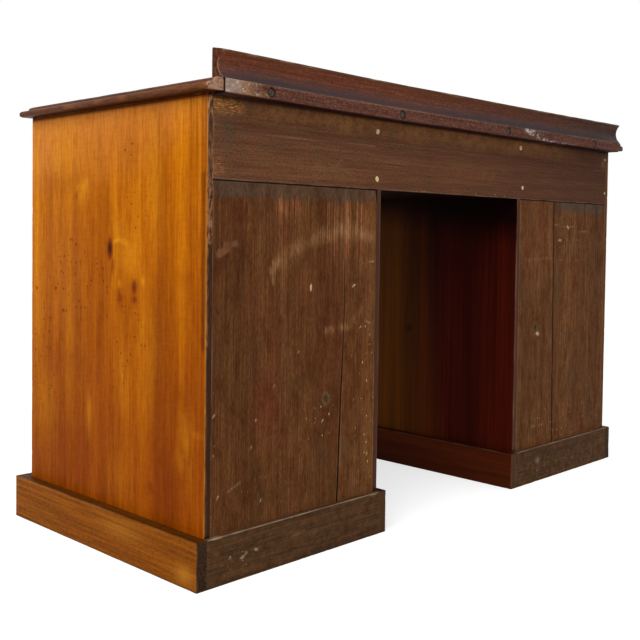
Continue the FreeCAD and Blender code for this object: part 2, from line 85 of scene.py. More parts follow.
class Finish:
    """A material's nodes, with coats of colour laid one over another as on wood. A share says where a coat shows. It
    is a number, a node's output, the name of a mark painted on the mesh, or one of these in brackets with the low
    and high that it is spread over. Shares given together are multiplied."""

    def __init__(self, name, owner=None):
        self.material = owner or bpy.data.materials.new(name)
        self.material.use_nodes = True
        self.tree = self.material.node_tree
        self.tree.nodes.clear()

    def put(self, kind, inputs=None, **settings):
        """One node. Each input is a number, a colour, a vector or another node's output."""
        node = self.tree.nodes.new("ShaderNode" + kind)
        for key, value in settings.items():
            setattr(node, key, value)
        for socket, value in (inputs or {}).items():
            if isinstance(value, bpy.types.NodeSocket):
                self.tree.links.new(value, node.inputs[socket])
            else:
                node.inputs[socket].default_value = value
        return node

    def sum(self, how, first, second):
        """First and second put together: ADD, MULTIPLY, MAXIMUM and so on."""
        return self.put("Math", {0: first, 1: second}, operation=how).outputs["Value"]

    def span(self, value, low, high, start=0.0, end=1.0):
        """value taken from low..high to start..end with soft ends."""
        return self.put("MapRange", {"Value": value, "From Min": low, "From Max": high, "To Min": start,
                                     "To Max": end}, interpolation_type="SMOOTHSTEP").outputs["Result"]

    def worth(self, *shares):
        """The shares multiplied together."""
        total = None
        for share in shares:
            if isinstance(share, tuple):
                share = self.span(self.worth(share[0]), *share[1:])
            if isinstance(share, str):
                share = self.put("Attribute", attribute_name=share).outputs["Fac"]
            total = share if total is None else self.sum("MULTIPLY", total, share)
        return total

    def both(self, first, first_share, second, second_share):
        """Two values added, each by its share."""
        return self.sum("ADD", self.worth(first, first_share), self.worth(second, second_share))

    def mixed(self, under, coat, *shares, blend="MIX"):
        """One colour laid over another."""
        under, coat = (paint(*colour) if isinstance(colour, tuple) else colour for colour in (under, coat))
        return self.put("Mix", {0: self.worth(*shares), 6: under, 7: coat}, data_type="RGBA",
                        blend_type=blend).outputs[2]

    def over(self, coat, *shares):
        """A coat that hides what is under it."""
        self.colour = self.mixed(self.colour, coat, *shares)

    def tint(self, coat, *shares):
        """A see-through coat: its colour multiplies what is under it."""
        self.colour = self.mixed(self.colour, coat, *shares, blend="MULTIPLY")

    def tones(self, value, low, high, *colours, at=None):
        """Colours for a value from low to high, evenly spaced unless at gives their places."""
        node = self.put("ValToRGB", {"Fac": self.span(value, low, high)})
        elements = node.color_ramp.elements
        while len(elements) < len(colours):
            elements.new(0.5)
        for element, place, colour in zip(elements, at or np.linspace(0, 1, len(colours)), colours):
            element.position, element.color = place, paint(*colour)
        return node.outputs["Color"]

    def noise(self, scale, shift=(0, 0, 0), detail=3, rough=0.7, twist=0.0):
        """Soft noise about 0.5. scale is how many features there are in a metre along the board, across it and,
        where that differs, through it."""
        spread = self.put("Mapping", {"Vector": self.place, "Scale": (*scale, scale[-1])[:3], "Location": shift})
        return self.put("TexNoise", {"Vector": spread.outputs["Vector"], "Scale": 1.0, "Detail": detail,
                                     "Roughness": rough, "Distortion": twist}).outputs["Fac"]

    def specks(self, scale, size, share, stretch=(1, 1, 1)):
        """Small round dots in a share of the cells of a grid of 1/scale metres: 1 inside, 0 outside."""
        spread = self.put("Mapping", {"Vector": self.place, "Scale": stretch})
        cell = self.put("TexVoronoi", {"Vector": spread.outputs["Vector"], "Scale": scale}, voronoi_dimensions="2D")
        chosen = self.put("SeparateColor", {"Color": cell.outputs["Color"]})
        reach = self.worth((chosen.outputs["Green"], 0.0, 1.0, 0.35, 1.0), size)
        inside = self.sum("SUBTRACT", reach, cell.outputs["Distance"])
        return self.worth((inside, 0.0, size * 0.35), self.sum("LESS_THAN", chosen.outputs["Red"], share))

    def coat(self, shine, rough, relief, depth, gloss=0.4, varnish=0.0, varnish_rough=0.2, metal=0.0):
        """The surface itself. The noise shine takes the roughness between the two of rough, and depth is what the
        relief stands for, in metres."""
        bump = self.put("Bump", {"Height": relief, "Distance": depth, "Strength": 1.0})
        surface = self.put("BsdfPrincipled", {
            "Base Color": self.colour, "Roughness": self.span(shine, 0.3, 0.7, *rough), "Metallic": metal,
            "Normal": bump.outputs["Normal"], "Specular IOR Level": gloss, "Coat Weight": varnish,
            "Coat Roughness": varnish_rough})
        self.tree.nodes.active = self.put("OutputMaterial", {"Surface": surface.outputs["BSDF"]})
        return self.material


def seen_directly(f):
    """1 for what the camera sees, straight, mirrored or through something, and 0 for light on its way to the wood."""
    ray = f.put("LightPath")
    seen = f.sum("MAXIMUM", ray.outputs["Is Camera Ray"], ray.outputs["Is Glossy Ray"])
    return f.sum("MAXIMUM", seen, ray.outputs["Is Transmission Ray"])


floor_mesh = bpy.data.meshes.new("floor")
floor_mesh.from_pydata([(x * FLOOR_HALF, y * FLOOR_HALF, 0) for x, y in ((-1, -1), (1, -1), (1, 1), (-1, 1))], [],
                       [(0, 1, 2, 3)])
white_floor = Finish("white_floor")
matt = white_floor.put("BsdfDiffuse", {"Color": FLOOR_WHITE})
glow = white_floor.put("Emission", {"Strength": white_floor.worth(seen_directly(white_floor), FLOOR_GLOW)})
both = white_floor.put("AddShader", {0: matt.outputs[0], 1: glow.outputs[0]})
white_floor.put("OutputMaterial", {"Surface": both.outputs[0]})
floor_mesh.materials.append(white_floor.material)
in_scene("floor", floor_mesh)

bpy.context.scene.world = bpy.data.worlds.new("sky")
sky = Finish("sky", bpy.context.scene.world)
strength = sky.span(seen_directly(sky), 0.0, 1.0, SKY_LIGHT, 1.0)
backdrop = sky.put("Background", {"Strength": strength, "Color": (1, 1, 1, 1)})
sky.put("OutputWorld", {"Surface": backdrop.outputs[0]})

lamp = in_scene("lamp", bpy.data.lights.new("lamp", "AREA"))
lamp.data.size = LAMP_SIDE
lamp.data.energy = LAMP_WATTS
lamp.location = LAMP_PLACE
lamp.rotation_euler = (LAMP_AIM - LAMP_PLACE).to_track_quat("-Z", "Y").to_euler()

# End panels. Wide boards of golden, varnished wood, set on end so that the grain stands upright, rebated behind
# for the back boards and notched at the foot for the rear plinth board. The desk stands on them.
MM = 0.001
PANEL_INNER, PANEL_OUTER, REBATE_SIDE = 582.0, 600.0, 590.0
CARCASS_FRONT, CARCASS_BACK, BACK_BOARD_FACE = -247.0, 247.0, 237.0
TOP_UNDER, SEAM = 719.0, 595.0
PLINTH_TOP, PLINTH_REAR_FACE = 73.0, 235.0
NEAR_ARRIS = (0.0, 0.4, 1.0, 2.0, 3.6)
LATTICE = (101, 103)


def held(value):
    """A value kept between 0 and 1."""
    return np.clip(value, 0, 1)


def ramp(value, start, run):
    """0 up to start and 1 from a run further on, or the other way round where run is less than 0."""
    return held((value - start) / run)


def on_rear_edge(y):
    """1 on the narrow rear edge of an upright panel, which shows beside the back boards."""
    return ramp(y, CARCASS_BACK - 0.4, 0.3)


def waver(u, v, long_u, long_v, seed):
    """Soft hills between -1 and 1: random heights on a lattice with cells of long_u by long_v, joined by the
    smoothstep curve 3s^2 - 2s^3."""
    heights = np.random.default_rng(seed).uniform(-1, 1, LATTICE)
    a, b = np.broadcast_arrays(u / long_u, v / long_v)
    i, j = np.floor(a).astype(int), np.floor(b).astype(int)
    s, t = a - i, b - j
    s, t = s * s * (3 - 2 * s), t * t * (3 - 2 * t)

    def at(di, dj):
        return heights[(i + di) % LATTICE[0], (j + dj) % LATTICE[1]]

    near, far = at(0, 0) * (1 - s) + at(1, 0) * s, at(0, 1) * (1 - s) + at(1, 1) * s
    return near * (1 - t) + far * t


def ragged(u, v, long_u, long_v, seed):
    """Hills, half-size hills and quarter-size hills added up, for torn and worn outlines."""
    return sum(waver(u, v, long_u / 2 ** k, long_v / 2 ** k, seed + k) / 2 ** k for k in range(3)) / 1.75


def blots(u, v, spots):
    """Soft marks of (u, v, half size in u, half size in v, strength): at each point the strongest of their bell
    curves strength * exp(-(du/ru)^2 - (dv/rv)^2)."""
    found = np.zeros(np.broadcast(u, v).shape)
    for at_u, at_v, reach_u, reach_v, strong in spots:
        found = np.maximum(found, strong * np.exp(-((u - at_u) / reach_u) ** 2 - ((v - at_v) / reach_v) ** 2))
    return found


def strokes(u, v, lines):
    """Soft strokes of (u0, v0, u1, v1, half width, strength): the bell curve of the distance from each line."""
    found = np.zeros(np.broadcast(u, v).shape)
    for u0, v0, u1, v1, half, strong in lines:
        du, dv = u1 - u0, v1 - v0
        share = held(((u - u0) * du + (v - v0) * dv) / (du * du + dv * dv))
        away = np.hypot(u - u0 - share * du, v - v0 - share * dv)
        found = np.maximum(found, strong * np.exp(-(away / half) ** 2))
    return found


def places(start, end, step, near=NEAR_ARRIS):
    """Places from start to end about a step apart, closer together beside both ends where arrises are worn."""
    run = end - start
    close = [n for n in near if n < run / 2 - 0.2]
    first = close[-1] if close else 0.0
    inner = np.linspace(first, run - first, max(2, round((run - 2 * first) / step) + 1))
    return start + np.concatenate([close[:-1], inner, run - np.array(close[:-1])[::-1]])


def ring_of(corners, steps, near=NEAR_ARRIS):
    """Points round a closed section: each side runs from its corner towards the next with its own step."""
    sides = []
    for k, ((a0, t0), step) in enumerate(zip(corners, steps)):
        a1, t1 = corners[(k + 1) % len(corners)]
        run = math.hypot(a1 - a0, t1 - t0)
        share = places(0.0, run, step, near)[:-1] / run
        sides.append(np.stack([a0 + (a1 - a0) * share, t0 + (t1 - t0) * share], axis=1))
    return np.concatenate(sides)


def skin(name, points, marks, sawn=False):
    """A closed skin over rings of points, in millimetres: rows x columns x 3. Columns join up round the ring. The
    first and last rings close on their middles or, where sawn, by flat rungs between matching halves of the ring.
    marks are arrays painted on the points."""
    rows, columns = points.shape[:2]
    count = rows * columns
    index = np.arange(count).reshape(rows, columns)
    turned = np.roll(index, -1, axis=1)
    faces = np.stack([index[:-1], turned[:-1], turned[1:], index[1:]], axis=-1).reshape(-1, 4)
    sides = len(faces)
    if sawn:
        one = np.arange(columns // 2 - 1)
        other = columns - 1 - one
        rungs = np.stack([index[:, one], index[:, one + 1], index[:, other - 1], index[:, other]], axis=-1)
        faces = np.concatenate([faces, rungs[0, :, ::-1], rungs[-1]])
        ends, middles = np.zeros((0, 3), int), slice(0, 0)
    else:
        first = np.stack([np.full(columns, count), turned[0], index[0]], axis=-1)
        last = np.stack([np.full(columns, count + 1), index[-1], turned[-1]], axis=-1)
        ends, middles = np.concatenate([first, last]), slice(None, None, rows - 1)

    def closed(value):
        """Its value at every point and, after them, at the middles of the end rings."""
        return np.concatenate([value.reshape(count, *value.shape[2:]), value[middles].mean(axis=1)])

    where = closed(points) * MM
    first, second, third = (where[k] for k in np.concatenate([faces[:, [0, 1, 2]], faces[:, [0, 2, 3]], ends]).T)
    if np.einsum("ij,ij->i", first, np.cross(second, third)).sum() < 0:
        faces, ends = faces[:, ::-1], ends[:, ::-1]
    mesh = bpy.data.meshes.new(name)
    mesh.from_pydata(where.tolist(), [], faces.tolist() + ends.tolist())
    mesh.polygons.foreach_set("use_smooth", (np.arange(len(mesh.polygons)) < sides) | (not sawn))
    for mark, value in marks.items():
        value = np.asarray(value, dtype=np.float32)
        kind, field = ("FLOAT_VECTOR", "vector") if value.ndim == 3 else ("FLOAT", "value")
        mesh.attributes.new(mark, kind, "POINT").data.foreach_set(field, closed(value).ravel())
    mesh.update()
    return in_scene(name, mesh)


def fitted(piece, finish, stands_for=None, body="carcass"):
    """Gives a piece its finish, ties it to the body that it moves with, and takes the plain solid's place."""
    piece.data.materials.append(finish)
    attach(piece, body)
    if stands_for:
        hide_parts(stands_for)


class Board:
    """A board cut from a section and worn at its arrises. The section's corners are (across, through) places in
    millimetres, carried along the run. Points near an arris move to the rounding p = q + R(p - q)/|p - q|, where q
    is p held inside the box shrunk by the rounding's radius R, which wanders along the arris."""

    def __init__(self, axes, run, corners, steps, step, seed, arris=0.8, chip=2.0, rows=(), near=NEAR_ARRIS):
        length = np.sort(np.concatenate([places(*run, step, near), rows]))
        ring = ring_of(corners, steps, near)
        middle, half = (ring.max(axis=0) + ring.min(axis=0)) / 2, (ring.max(axis=0) - ring.min(axis=0)) / 2
        inset = np.array([n for n in NEAR_ARRIS[1:] if n < half.min() - 0.3])[:, None]
        caps = middle + (ring - middle) * ((half - inset) / half)[:, None, :]
        rings = np.concatenate([caps[::-1], np.repeat(ring[None], len(length), axis=0), caps])
        at = np.concatenate([np.full(len(caps), length[0]), length, np.full(len(caps), length[-1])])
        points = np.zeros(rings.shape[:2] + (3,))
        points[..., axes[0]] = at[:, None]
        points[..., axes[1]], points[..., axes[2]] = rings[..., 0], rings[..., 1]
        box_low, box_high = np.zeros(3), np.zeros(3)
        box_low[list(axes)] = run[0], *(middle - half)
        box_high[list(axes)] = run[1], *(middle + half)
        self.from_arris = np.sort(np.minimum(points - box_low, box_high - points), axis=-1)[..., 1]
        x, y, z = (points[..., k] for k in range(3))
        swing = 1 + 0.45 * waver(x + 1.3 * y, z + 0.7 * y, 35, 35, seed)
        self.lost = held(ragged(x + y, z - y, 14, 14, seed + 11) - 0.32) / 0.68
        radius = np.minimum(arris * swing + chip * self.lost, 0.96 * half.min())[..., None]
        core = np.clip(points, box_low + radius, box_high - radius)
        reach = np.maximum(np.linalg.norm(points - core, axis=-1, keepdims=True), 1e-9)
        self.points = np.where(reach > radius, core + (points - core) * radius / reach, points)
        self.axes, self.seed, self.loop = axes, seed, np.broadcast_to(ring, rings.shape)

    def flat(self):
        """Along and across places of every point."""
        return self.points[..., self.axes[0]], self.points[..., self.axes[1]]

    def on_side(self, column, level):
        """Whether each point's place in the section, across (0) or through (1), is the level."""
        return np.abs(self.loop[..., column] - level) < 1e-6

    def raise_face(self, level, heights):
        """Moves the show face, at a level of the through axis, outwards by heights in millimetres, fading to none
        over the 2.5 mm beside its arrises."""
        way = 1 if level > self.loop[..., 1].mean() else -1
        self.points[..., self.axes[2]] += way * heights * held(self.from_arris / 2.5) * self.on_side(1, level)

    def worn(self, reach=2.5):
        """How far the finish is rubbed off: 1 - (distance from the arris) / reach, times ragged patches, which are
        fullest in the chips."""
        u, v = self.flat()
        patches = held(0.55 + 0.9 * ragged(u, v + self.points[..., self.axes[2]], 40, 25, self.seed + 21))
        return held(1 - self.from_arris / reach) * held(patches + self.lost)

    def grain(self, knots=()):
        """Place on the board in metres, shifted for each board. Near a knot (along, across, reach) the fibres run
        round it: across = a0 + (a - a0)(1 - 0.75 exp(-d^2))."""
        u, v = self.flat()
        bent = v.copy()
        for at_u, at_v, reach in knots:
            near = np.exp(-((u - at_u) / (2.6 * reach)) ** 2 - ((v - at_v) / reach) ** 2)
            bent -= 0.75 * (v - at_v) * near
        shift = np.random.default_rng(self.seed + 31).uniform(2, 9, 3)
        return np.stack([u, bent, self.points[..., self.axes[2]]], axis=-1) * MM + shift

    def make(self, name, finish, slot, stands_for=None, body="carcass", **marks):
        """Skins the board. Its grain and wear are worked out here unless they are among the marks."""
        marks = {"grain": self.grain(), "worn": self.worn(), **marks}
        fitted(skin(name, self.points, marks), finish, stands_for, body)


def upright(front, face, ledge, bay, steps, seed, chip, swell, headed=False):
    """A board that stands across the desk's depth: its show face is swollen a little, its rear edge is rebated for
    the back boards, and its foot and, where headed, its top are notched behind."""
    corners = [(front, face), (CARCASS_BACK, face), (CARCASS_BACK, ledge), (BACK_BOARD_FACE, ledge),
               (BACK_BOARD_FACE, bay), (front, bay)]
    rows = (PLINTH_TOP - 0.2,) + ((SEAM - 0.2, SEAM) if headed else ())
    board = Board((2, 1, 0), (0.0, TOP_UNDER), corners, (*steps, 3, 4, 40, 5), steps[0], seed, chip=chip, rows=rows)
    z, y = board.flat()
    y[(z < PLINTH_TOP - 0.1) & (y > PLINTH_REAR_FACE)] = PLINTH_REAR_FACE
    if headed:
        y[(z > SEAM - 0.1) & (y > BACK_BOARD_FACE)] = BACK_BOARD_FACE
    board.raise_face(face, swell * waver(z, y, 160, 60, seed + 1))
    return board, z, y


def wood(name, counts, shares):
    """Starts a wood finish. Its figure, about 0.5, is the mean of broad bands, growth lines and fibres, each counted
    by its share. counts says how many of them there are in a metre across; all are drawn out along the grain."""
    broad, lines, fibre = counts
    f = Finish(name)
    f.place = f.put("Attribute", attribute_name="grain").outputs["Vector"]
    bands = f.noise((broad * 0.035, broad), (0, 0, 0), 3, 0.55, 0.4)
    f.growth = f.noise((lines * 0.012, lines), (3, 1, 7), 2, 0.6)
    f.fibres = f.noise((fibre * 0.02, fibre), (5, 2, 1), 3, 0.65)
    total = f.sum("ADD", f.both(bands, shares[0], f.growth, shares[1]), f.worth(f.fibres, shares[2]))
    f.figure = f.sum("DIVIDE", total, sum(shares))
    return f


f = wood("golden_end_wood", (14, 100, 420), (1.0, 0.4, 0.45))
f.figure = f.both(f.figure, 0.7, f.noise((2.5, 24), (2, 6, 1), 3, 0.6, 0.4), 0.3)
f.colour = f.tones(f.figure, 0.36, 0.64, (146, 76, 0), (172, 95, 0), (189, 110, 2), (208, 130, 12),
                   at=(0.0, 0.4, 0.7, 1.0))
f.over((208, 134, 66), "pale")
f.over((166, 80, 0), (f.noise((3, 8), (5, 5, 5), 3, 0.5), 0.5, 0.64), 0.22)
# Painted shade: the panel darkens towards the floor, as if lit from above.
f.tint((194, 166, 54), "deep")
f.over((222, 148, 26), "bright")
f.over((128, 56, 0), "red")
flecks = f.noise((36, 260), (1, 4, 2), 3, 0.65)
f.tint((240, 228, 208), (flecks, 0.42, 0.64))
f.tint((249, 244, 234), (f.noise((200, 50), (2, 1, 4), 2, 0.6), 0.44, 0.62))
f.over((124, 52, 2), ("knot", 0.05, 0.5))
f.over((60, 26, 4), ("knot", 0.45, 0.9))
holes = f.worth(f.specks(105, 0.26, 0.3), ("worm", 0.15, 0.4))
f.over((76, 34, 4), holes, 0.75)
f.over((68, 46, 32), "rear")
f.over((190, 134, 92), "bare", (f.noise((90, 420), (7, 3, 2)), 0.42, 0.52))
# Painted shade: a dark band under the moulding and dark lines along the rear edge.
f.tint((118, 84, 60), "dirty")
f.over((204, 146, 70), "worn", 0.3)
relief = f.sum("SUBTRACT", f.worth(f.fibres, 0.4), f.worth(holes, 3.0))
golden_end_wood = f.coat(flecks, (0.4, 0.55), relief, 0.0002, gloss=0.02, varnish=0.01, varnish_rough=0.3)


def near_end_marks(z, y, x):
    """What time has drawn on the near end panel, and painted shade low down, under the moulding and along the rear
    edge. Places are height, then depth towards the back.
    """
    slow = y + 4 * waver(z, y, 180, 200, 21)
    ledge = on_rear_edge(y)
    bare = np.interp(z, [0, 340, 360, 490, 520, 590, 605, 680, 700, 719],
                     [0, 0.05, 0.35, 0.45, 0.85, 0.8, 0.25, 0.25, 1.0, 1.0])
    return dict(
        bright=held(blots(z, slow, [
            (478, 52, 34, 30, 0.3), (520, 18, 20, 12, 0.3), (540, -228, 160, 7, 0.4), (589, -89, 24, 22, 0.4),
            (441, 92, 8, 5, 0.55), (434, 28, 7, 5, 0.5), (330, 110, 100, 30, 0.15), (650, -130, 80, 70, 0.25),
            (610, 120, 110, 20, 0.3), (330, -120, 110, 14, 0.2), (205, 208, 26, 9, 0.4), (222, 226, 7, 16, 0.35),
            (160, 214, 40, 6, 0.25), (240, 196, 12, 14, 0.2), (180, 190, 20, 12, 0.2), (218, 206, 34, 20, 0.3),
            (206, -205, 60, 36, 0.22), (215, -60, 32, 8, 0.35), (280, 40, 60, 14, 0.2), (130, 30, 40, 30, 0.15)])
            + strokes(z, y, [
            (500, 9, 505, 26, 3.4, 0.5), (505, 26, 500, 46, 5, 0.3), (499, 10, 478, 13, 2.6, 0.45),
            (588, -84, 600, -70, 8, 0.3), (400, 246, 0, 246, 0.9, 0.25)])),
        red=held(blots(z, slow, [
            (588, -89, 10, 5, 0.5), (578, -100, 8, 5, 0.45), (450, 206, 22, 20, 0.5), (430, 69, 14, 13, 0.6),
            (411, 69, 12, 12, 0.5), (409, 30, 14, 9, 0.6), (124, 116, 18, 16, 0.5), (268, 143, 32, 20, 0.7),
            (350, 150, 80, 26, 0.3), (640, 56, 46, 22, 0.4), (610, 44, 40, 5, 0.4), (600, -150, 22, 70, 0.3),
            (470, -40, 90, 40, 0.25), (300, 226, 320, 24, 0.4), (640, 226, 90, 24, 0.4), (190, 120, 60, 90, 0.25),
            (300, -150, 30, 60, 0.25), (170, 10, 70, 50, 0.35), (480, -110, 60, 12, 0.3), (360, -30, 60, 14, 0.25),
            (300, -118, 34, 12, 0.4), (140, -90, 40, 30, 0.4), (520, 210, 130, 16, 0.3)])
            + strokes(z, slow, [
            (700, 134, 60, 130, 1.3, 0.5), (719, 212, 0, 214, 2.2, 0.35), (719, 226, 0, 228, 1.6, 0.4),
            (719, 238, 0, 238, 1.5, 0.45), (420, 60, 250, 40, 2.4, 0.3), (300, -80, 60, -70, 3, 0.3),
            (719, -180, 250, -176, 2, 0.25), (700, 20, 560, 22, 2, 0.3), (719, 90, 500, 94, 1.6, 0.25),
            (560, -60, 300, -64, 2, 0.2), (400, 180, 120, 176, 2.2, 0.3), (260, 8, 90, 12, 3, 0.25)])),
        knot=blots(z, y, [
            (490, 1, 17, 8, 1.0), (462, 8, 16, 5, 0.4), (430, 69, 12, 7, 0.72), (411, 70, 7, 7, 0.6),
            (412, 30, 9, 6, 0.5), (124, 116, 8, 8, 0.5), (418, -165, 3, 3, 0.9), (381, -140, 3, 3, 0.8),
            (365, -183, 3, 3, 0.7), (415, -229, 3, 3, 0.7), (578, -100, 7, 4, 0.3), (266, 143, 9, 16, 0.14)]),
        # Painted shade, growing towards the foot.
        deep=held((700 - z) / 560 + 0.12 * waver(z, y, 120, 90, 23) + 0.1 * ramp(y, 190, 60)),
        worm=blots(z, y, [
            (440, -90, 70, 80, 1.0), (560, 70, 120, 60, 0.35), (330, 40, 120, 120, 0.4), (300, -200, 120, 60, 0.5),
            (646, 56, 16, 20, 0.8)]),
        pale=np.clip((z - 590 + 60 * waver(y, z, 70, 160, 24) - 0.1 * y) / 250, 0, 0.5)
        + blots(z, slow, [(430, -160, 170, 90, 0.22), (270, -60, 90, 60, 0.1)]),
        rear=ledge,
        bare=ledge * held(bare + 0.45 * ragged(z, x, 40, 6, 22))
        * np.where(z < 500, np.clip((x - 594.5) / 4, 0.1, 1), 1),
        # Painted shade under the moulding's overhang and along the rear rebate.
        dirty=held(ramp(z, 711, 4) + strokes(z, y, [
            (719, 244.5, 600, 244.5, 1.0, 0.9), (600, 241, 350, 241, 5, 0.6), (600, 248, 73, 248, 1.2, 0.9)])),
    )


def far_end_marks(z, y, x):
    """The far end is seen only from the front: fewer marks of the same kinds, painted shade among them."""
    slow = y + 5 * waver(z, y, 160, 200, 41)
    ledge = on_rear_edge(y)
    return dict(
        bright=blots(z, slow, [
            (470, -80, 90, 30, 0.5), (300, 100, 80, 20, 0.4), (640, 60, 60, 40, 0.4)]),
        red=held(blots(z, slow, [
            (520, 120, 16, 9, 0.6), (250, -60, 22, 12, 0.6), (610, -150, 12, 7, 0.5)])
            + strokes(z, slow, [
            (700, -40, 80, -46, 1.5, 0.35), (700, 180, 60, 184, 1.8, 0.3)])),
        knot=held(1.5 * blots(z, y, [(250, -60, 8, 5, 0.9), (520, 120, 7, 4, 0.7)]) - 0.25),
        # Painted shade, growing towards the foot.
        deep=held(0.8 - z / 420 + 0.2 * waver(z, y, 120, 90, 43)),
        worm=blots(z, y, [(430, 90, 90, 90, 0.7)]),
        pale=np.clip((z - 590 + 60 * waver(y, z, 70, 160, 44)) / 260, 0, 0.45),
        rear=ledge * 0.9,
        bare=ledge * held(ragged(z, y, 40, 6, 42)) * 0.3,
        # Painted shade under the moulding.
        dirty=ramp(z, 711, 4),
    )


NEAR_KNOTS = [(490, 0, 18), (420, 69, 14), (409, 30, 11), (124, 116, 14), (588, -92, 14)]
FAR_KNOTS = [(250, -60, 15), (520, 120, 12)]
for side, sign, step, seed, marks, knots in (("right", 1, 2.6, 10, near_end_marks, NEAR_KNOTS),
                                             ("left", -1, 5.0, 40, far_end_marks, FAR_KNOTS)):
    board, z, y = upright(CARCASS_FRONT, sign * PANEL_OUTER, sign * REBATE_SIDE, sign * PANEL_INNER, (step, 1.2), seed,
                          2.8, 0.25)
    board.make(f"end_board_{side}", golden_end_wood, "end_wood", f"end_panel_{side}", grain=board.grain(knots),
               **marks(z, y, np.abs(board.points[..., 0])))

# Kneehole panels. Boards stained dark red like the front, housed for the drawer rails, with the grain upright.
# The upper back board passes behind them, and the lower back boards sit in their rebates.
KNEE_FACE, KNEE_LEDGE, KNEE_BAY = 216.0, 226.0, 234.0
# Their front edges stand just behind the rails and carry a thin lipping of the front's wood.
BEHIND_RAILS, LIPPING = 0.3, 1.4

f = wood("kneehole_wood", (22, 160, 900), (1.0, 0.6, 0.35))
f.colour = f.tones(f.figure, 0.32, 0.68, (36, 5, 1), (54, 9, 2), (72, 17, 5))
# Painted light: the panels' front parts are lighter, as if lit through the kneehole's opening.
f.over(f.tones(f.figure, 0.32, 0.68, (72, 34, 2), (108, 58, 4)), "faded")
f.over((30, 8, 6), "knot")
f.over((72, 45, 34), "rear")
f.over(f.tones(f.figure, 0.32, 0.68, (88, 42, 22), (128, 68, 38)), "lipped")
f.over((150, 112, 84), "worn", 0.5)
# Painted shade: the panels darken towards their tops, and the soffit all over, as the kneehole's ceiling is in shadow.
f.tint((110, 90, 90), "sooty")
kneehole_wood = f.coat(f.growth, (0.42, 0.58), f.fibres, 0.0002, gloss=0.03)

front = CARCASS_FRONT + BEHIND_RAILS
for side, sign, step, seed, (knot_z, knot_y, reach) in (("left", -1, 4.0, 60, (309, -30, 7)),
                                                        ("right", 1, 6.0, 80, (470, 40, 6))):
    board, z, y = upright(front, sign * KNEE_FACE, sign * KNEE_LEDGE, sign * KNEE_BAY, (step, 1.5), seed, 1.8, 0.2,
                          headed=True)
    board.make(f"kneehole_board_{side}", kneehole_wood, "kneehole_wood", f"kneehole_panel_{side}",
               grain=board.grain([(knot_z, knot_y, 3.0 * reach)]),
               knot=blots(z, y, [(knot_z, knot_y, reach, reach, 0.9)]),
               # Painted light, strongest at the front edge.
               faded=held((70 - y + 40 * waver(z, y, 300, 60, seed + 2)) / 150) * 0.9,
               rear=on_rear_edge(y), lipped=held((front + LIPPING - y) / 0.6),
               # Painted shade under the top of the kneehole.
               sooty=held((z - 520 + 0.12 * y) / 60) * (y < 246) * (y > front + LIPPING))

# Upper back board. One long board of softwood, stained dark brown, nailed across the whole back under the top.
# Light and polish have bleached it under the top's edge, where painted light also lifts the strip's shadow, and
# its large nail holes are filled.
UPPER_HALF = 590.0


def box_corners(across_0, across_1, through_0, through_1):
    """A plain board's section."""
    return [(across_0, through_0), (across_1, through_0), (across_1, through_1), (across_0, through_1)]


f = wood("upper_back_wood", (34, 240, 600), (0.4, 0.5, 0.9))
stipple = f.noise((420, 300), (1, 7, 3))
weave = f.noise((60, 60), (2, 2, 2), 4)
f.colour = f.tones(f.figure, 0.3, 0.7, (78, 46, 30), (98, 61, 41), (120, 79, 54))
f.tint((208, 200, 198), "dulled")
f.over((88, 66, 40), (weave, 0.5, 0.62), 0.45)
f.over((100, 50, 40), (weave, 0.46, 0.36), 0.3)
# Bleached wood, with painted light: the band under the top is lightened against the strip's shadow.
f.over(f.tones(weave, 0.34, 0.66, (122, 80, 44), (156, 106, 62)), "bleached", (weave, 0.3, 0.6, 0.8, 1.0))
f.over((72, 66, 50), "smudged", (weave, 0.3, 0.6, 0.6, 1.0))
f.over((160, 104, 60), "bare", (weave, 0.36, 0.6, 0.2, 0.9))
f.tint((196, 182, 170), (stipple, 0.46, 0.66))
f.over((255, 180, 96), "bare", (f.noise((130, 600), (4, 1, 2)), 0.5, 0.64))
# Painted shade along the board's top, under the strip's overhang.
f.tint((84, 66, 54), "dirty")
f.over((14, 8, 6), "jointed")
f.over((196, 170, 138), f.specks(120, 0.14, 0.25), ("flecked", 0.1, 0.6))
f.over((170, 136, 110), "scratched")
f.over((160, 126, 100), "worn", 0.5)
upper_back_wood = f.coat(weave, (0.6, 0.78), f.sum("ADD", f.fibres, stipple), 0.0003, gloss=0.06)

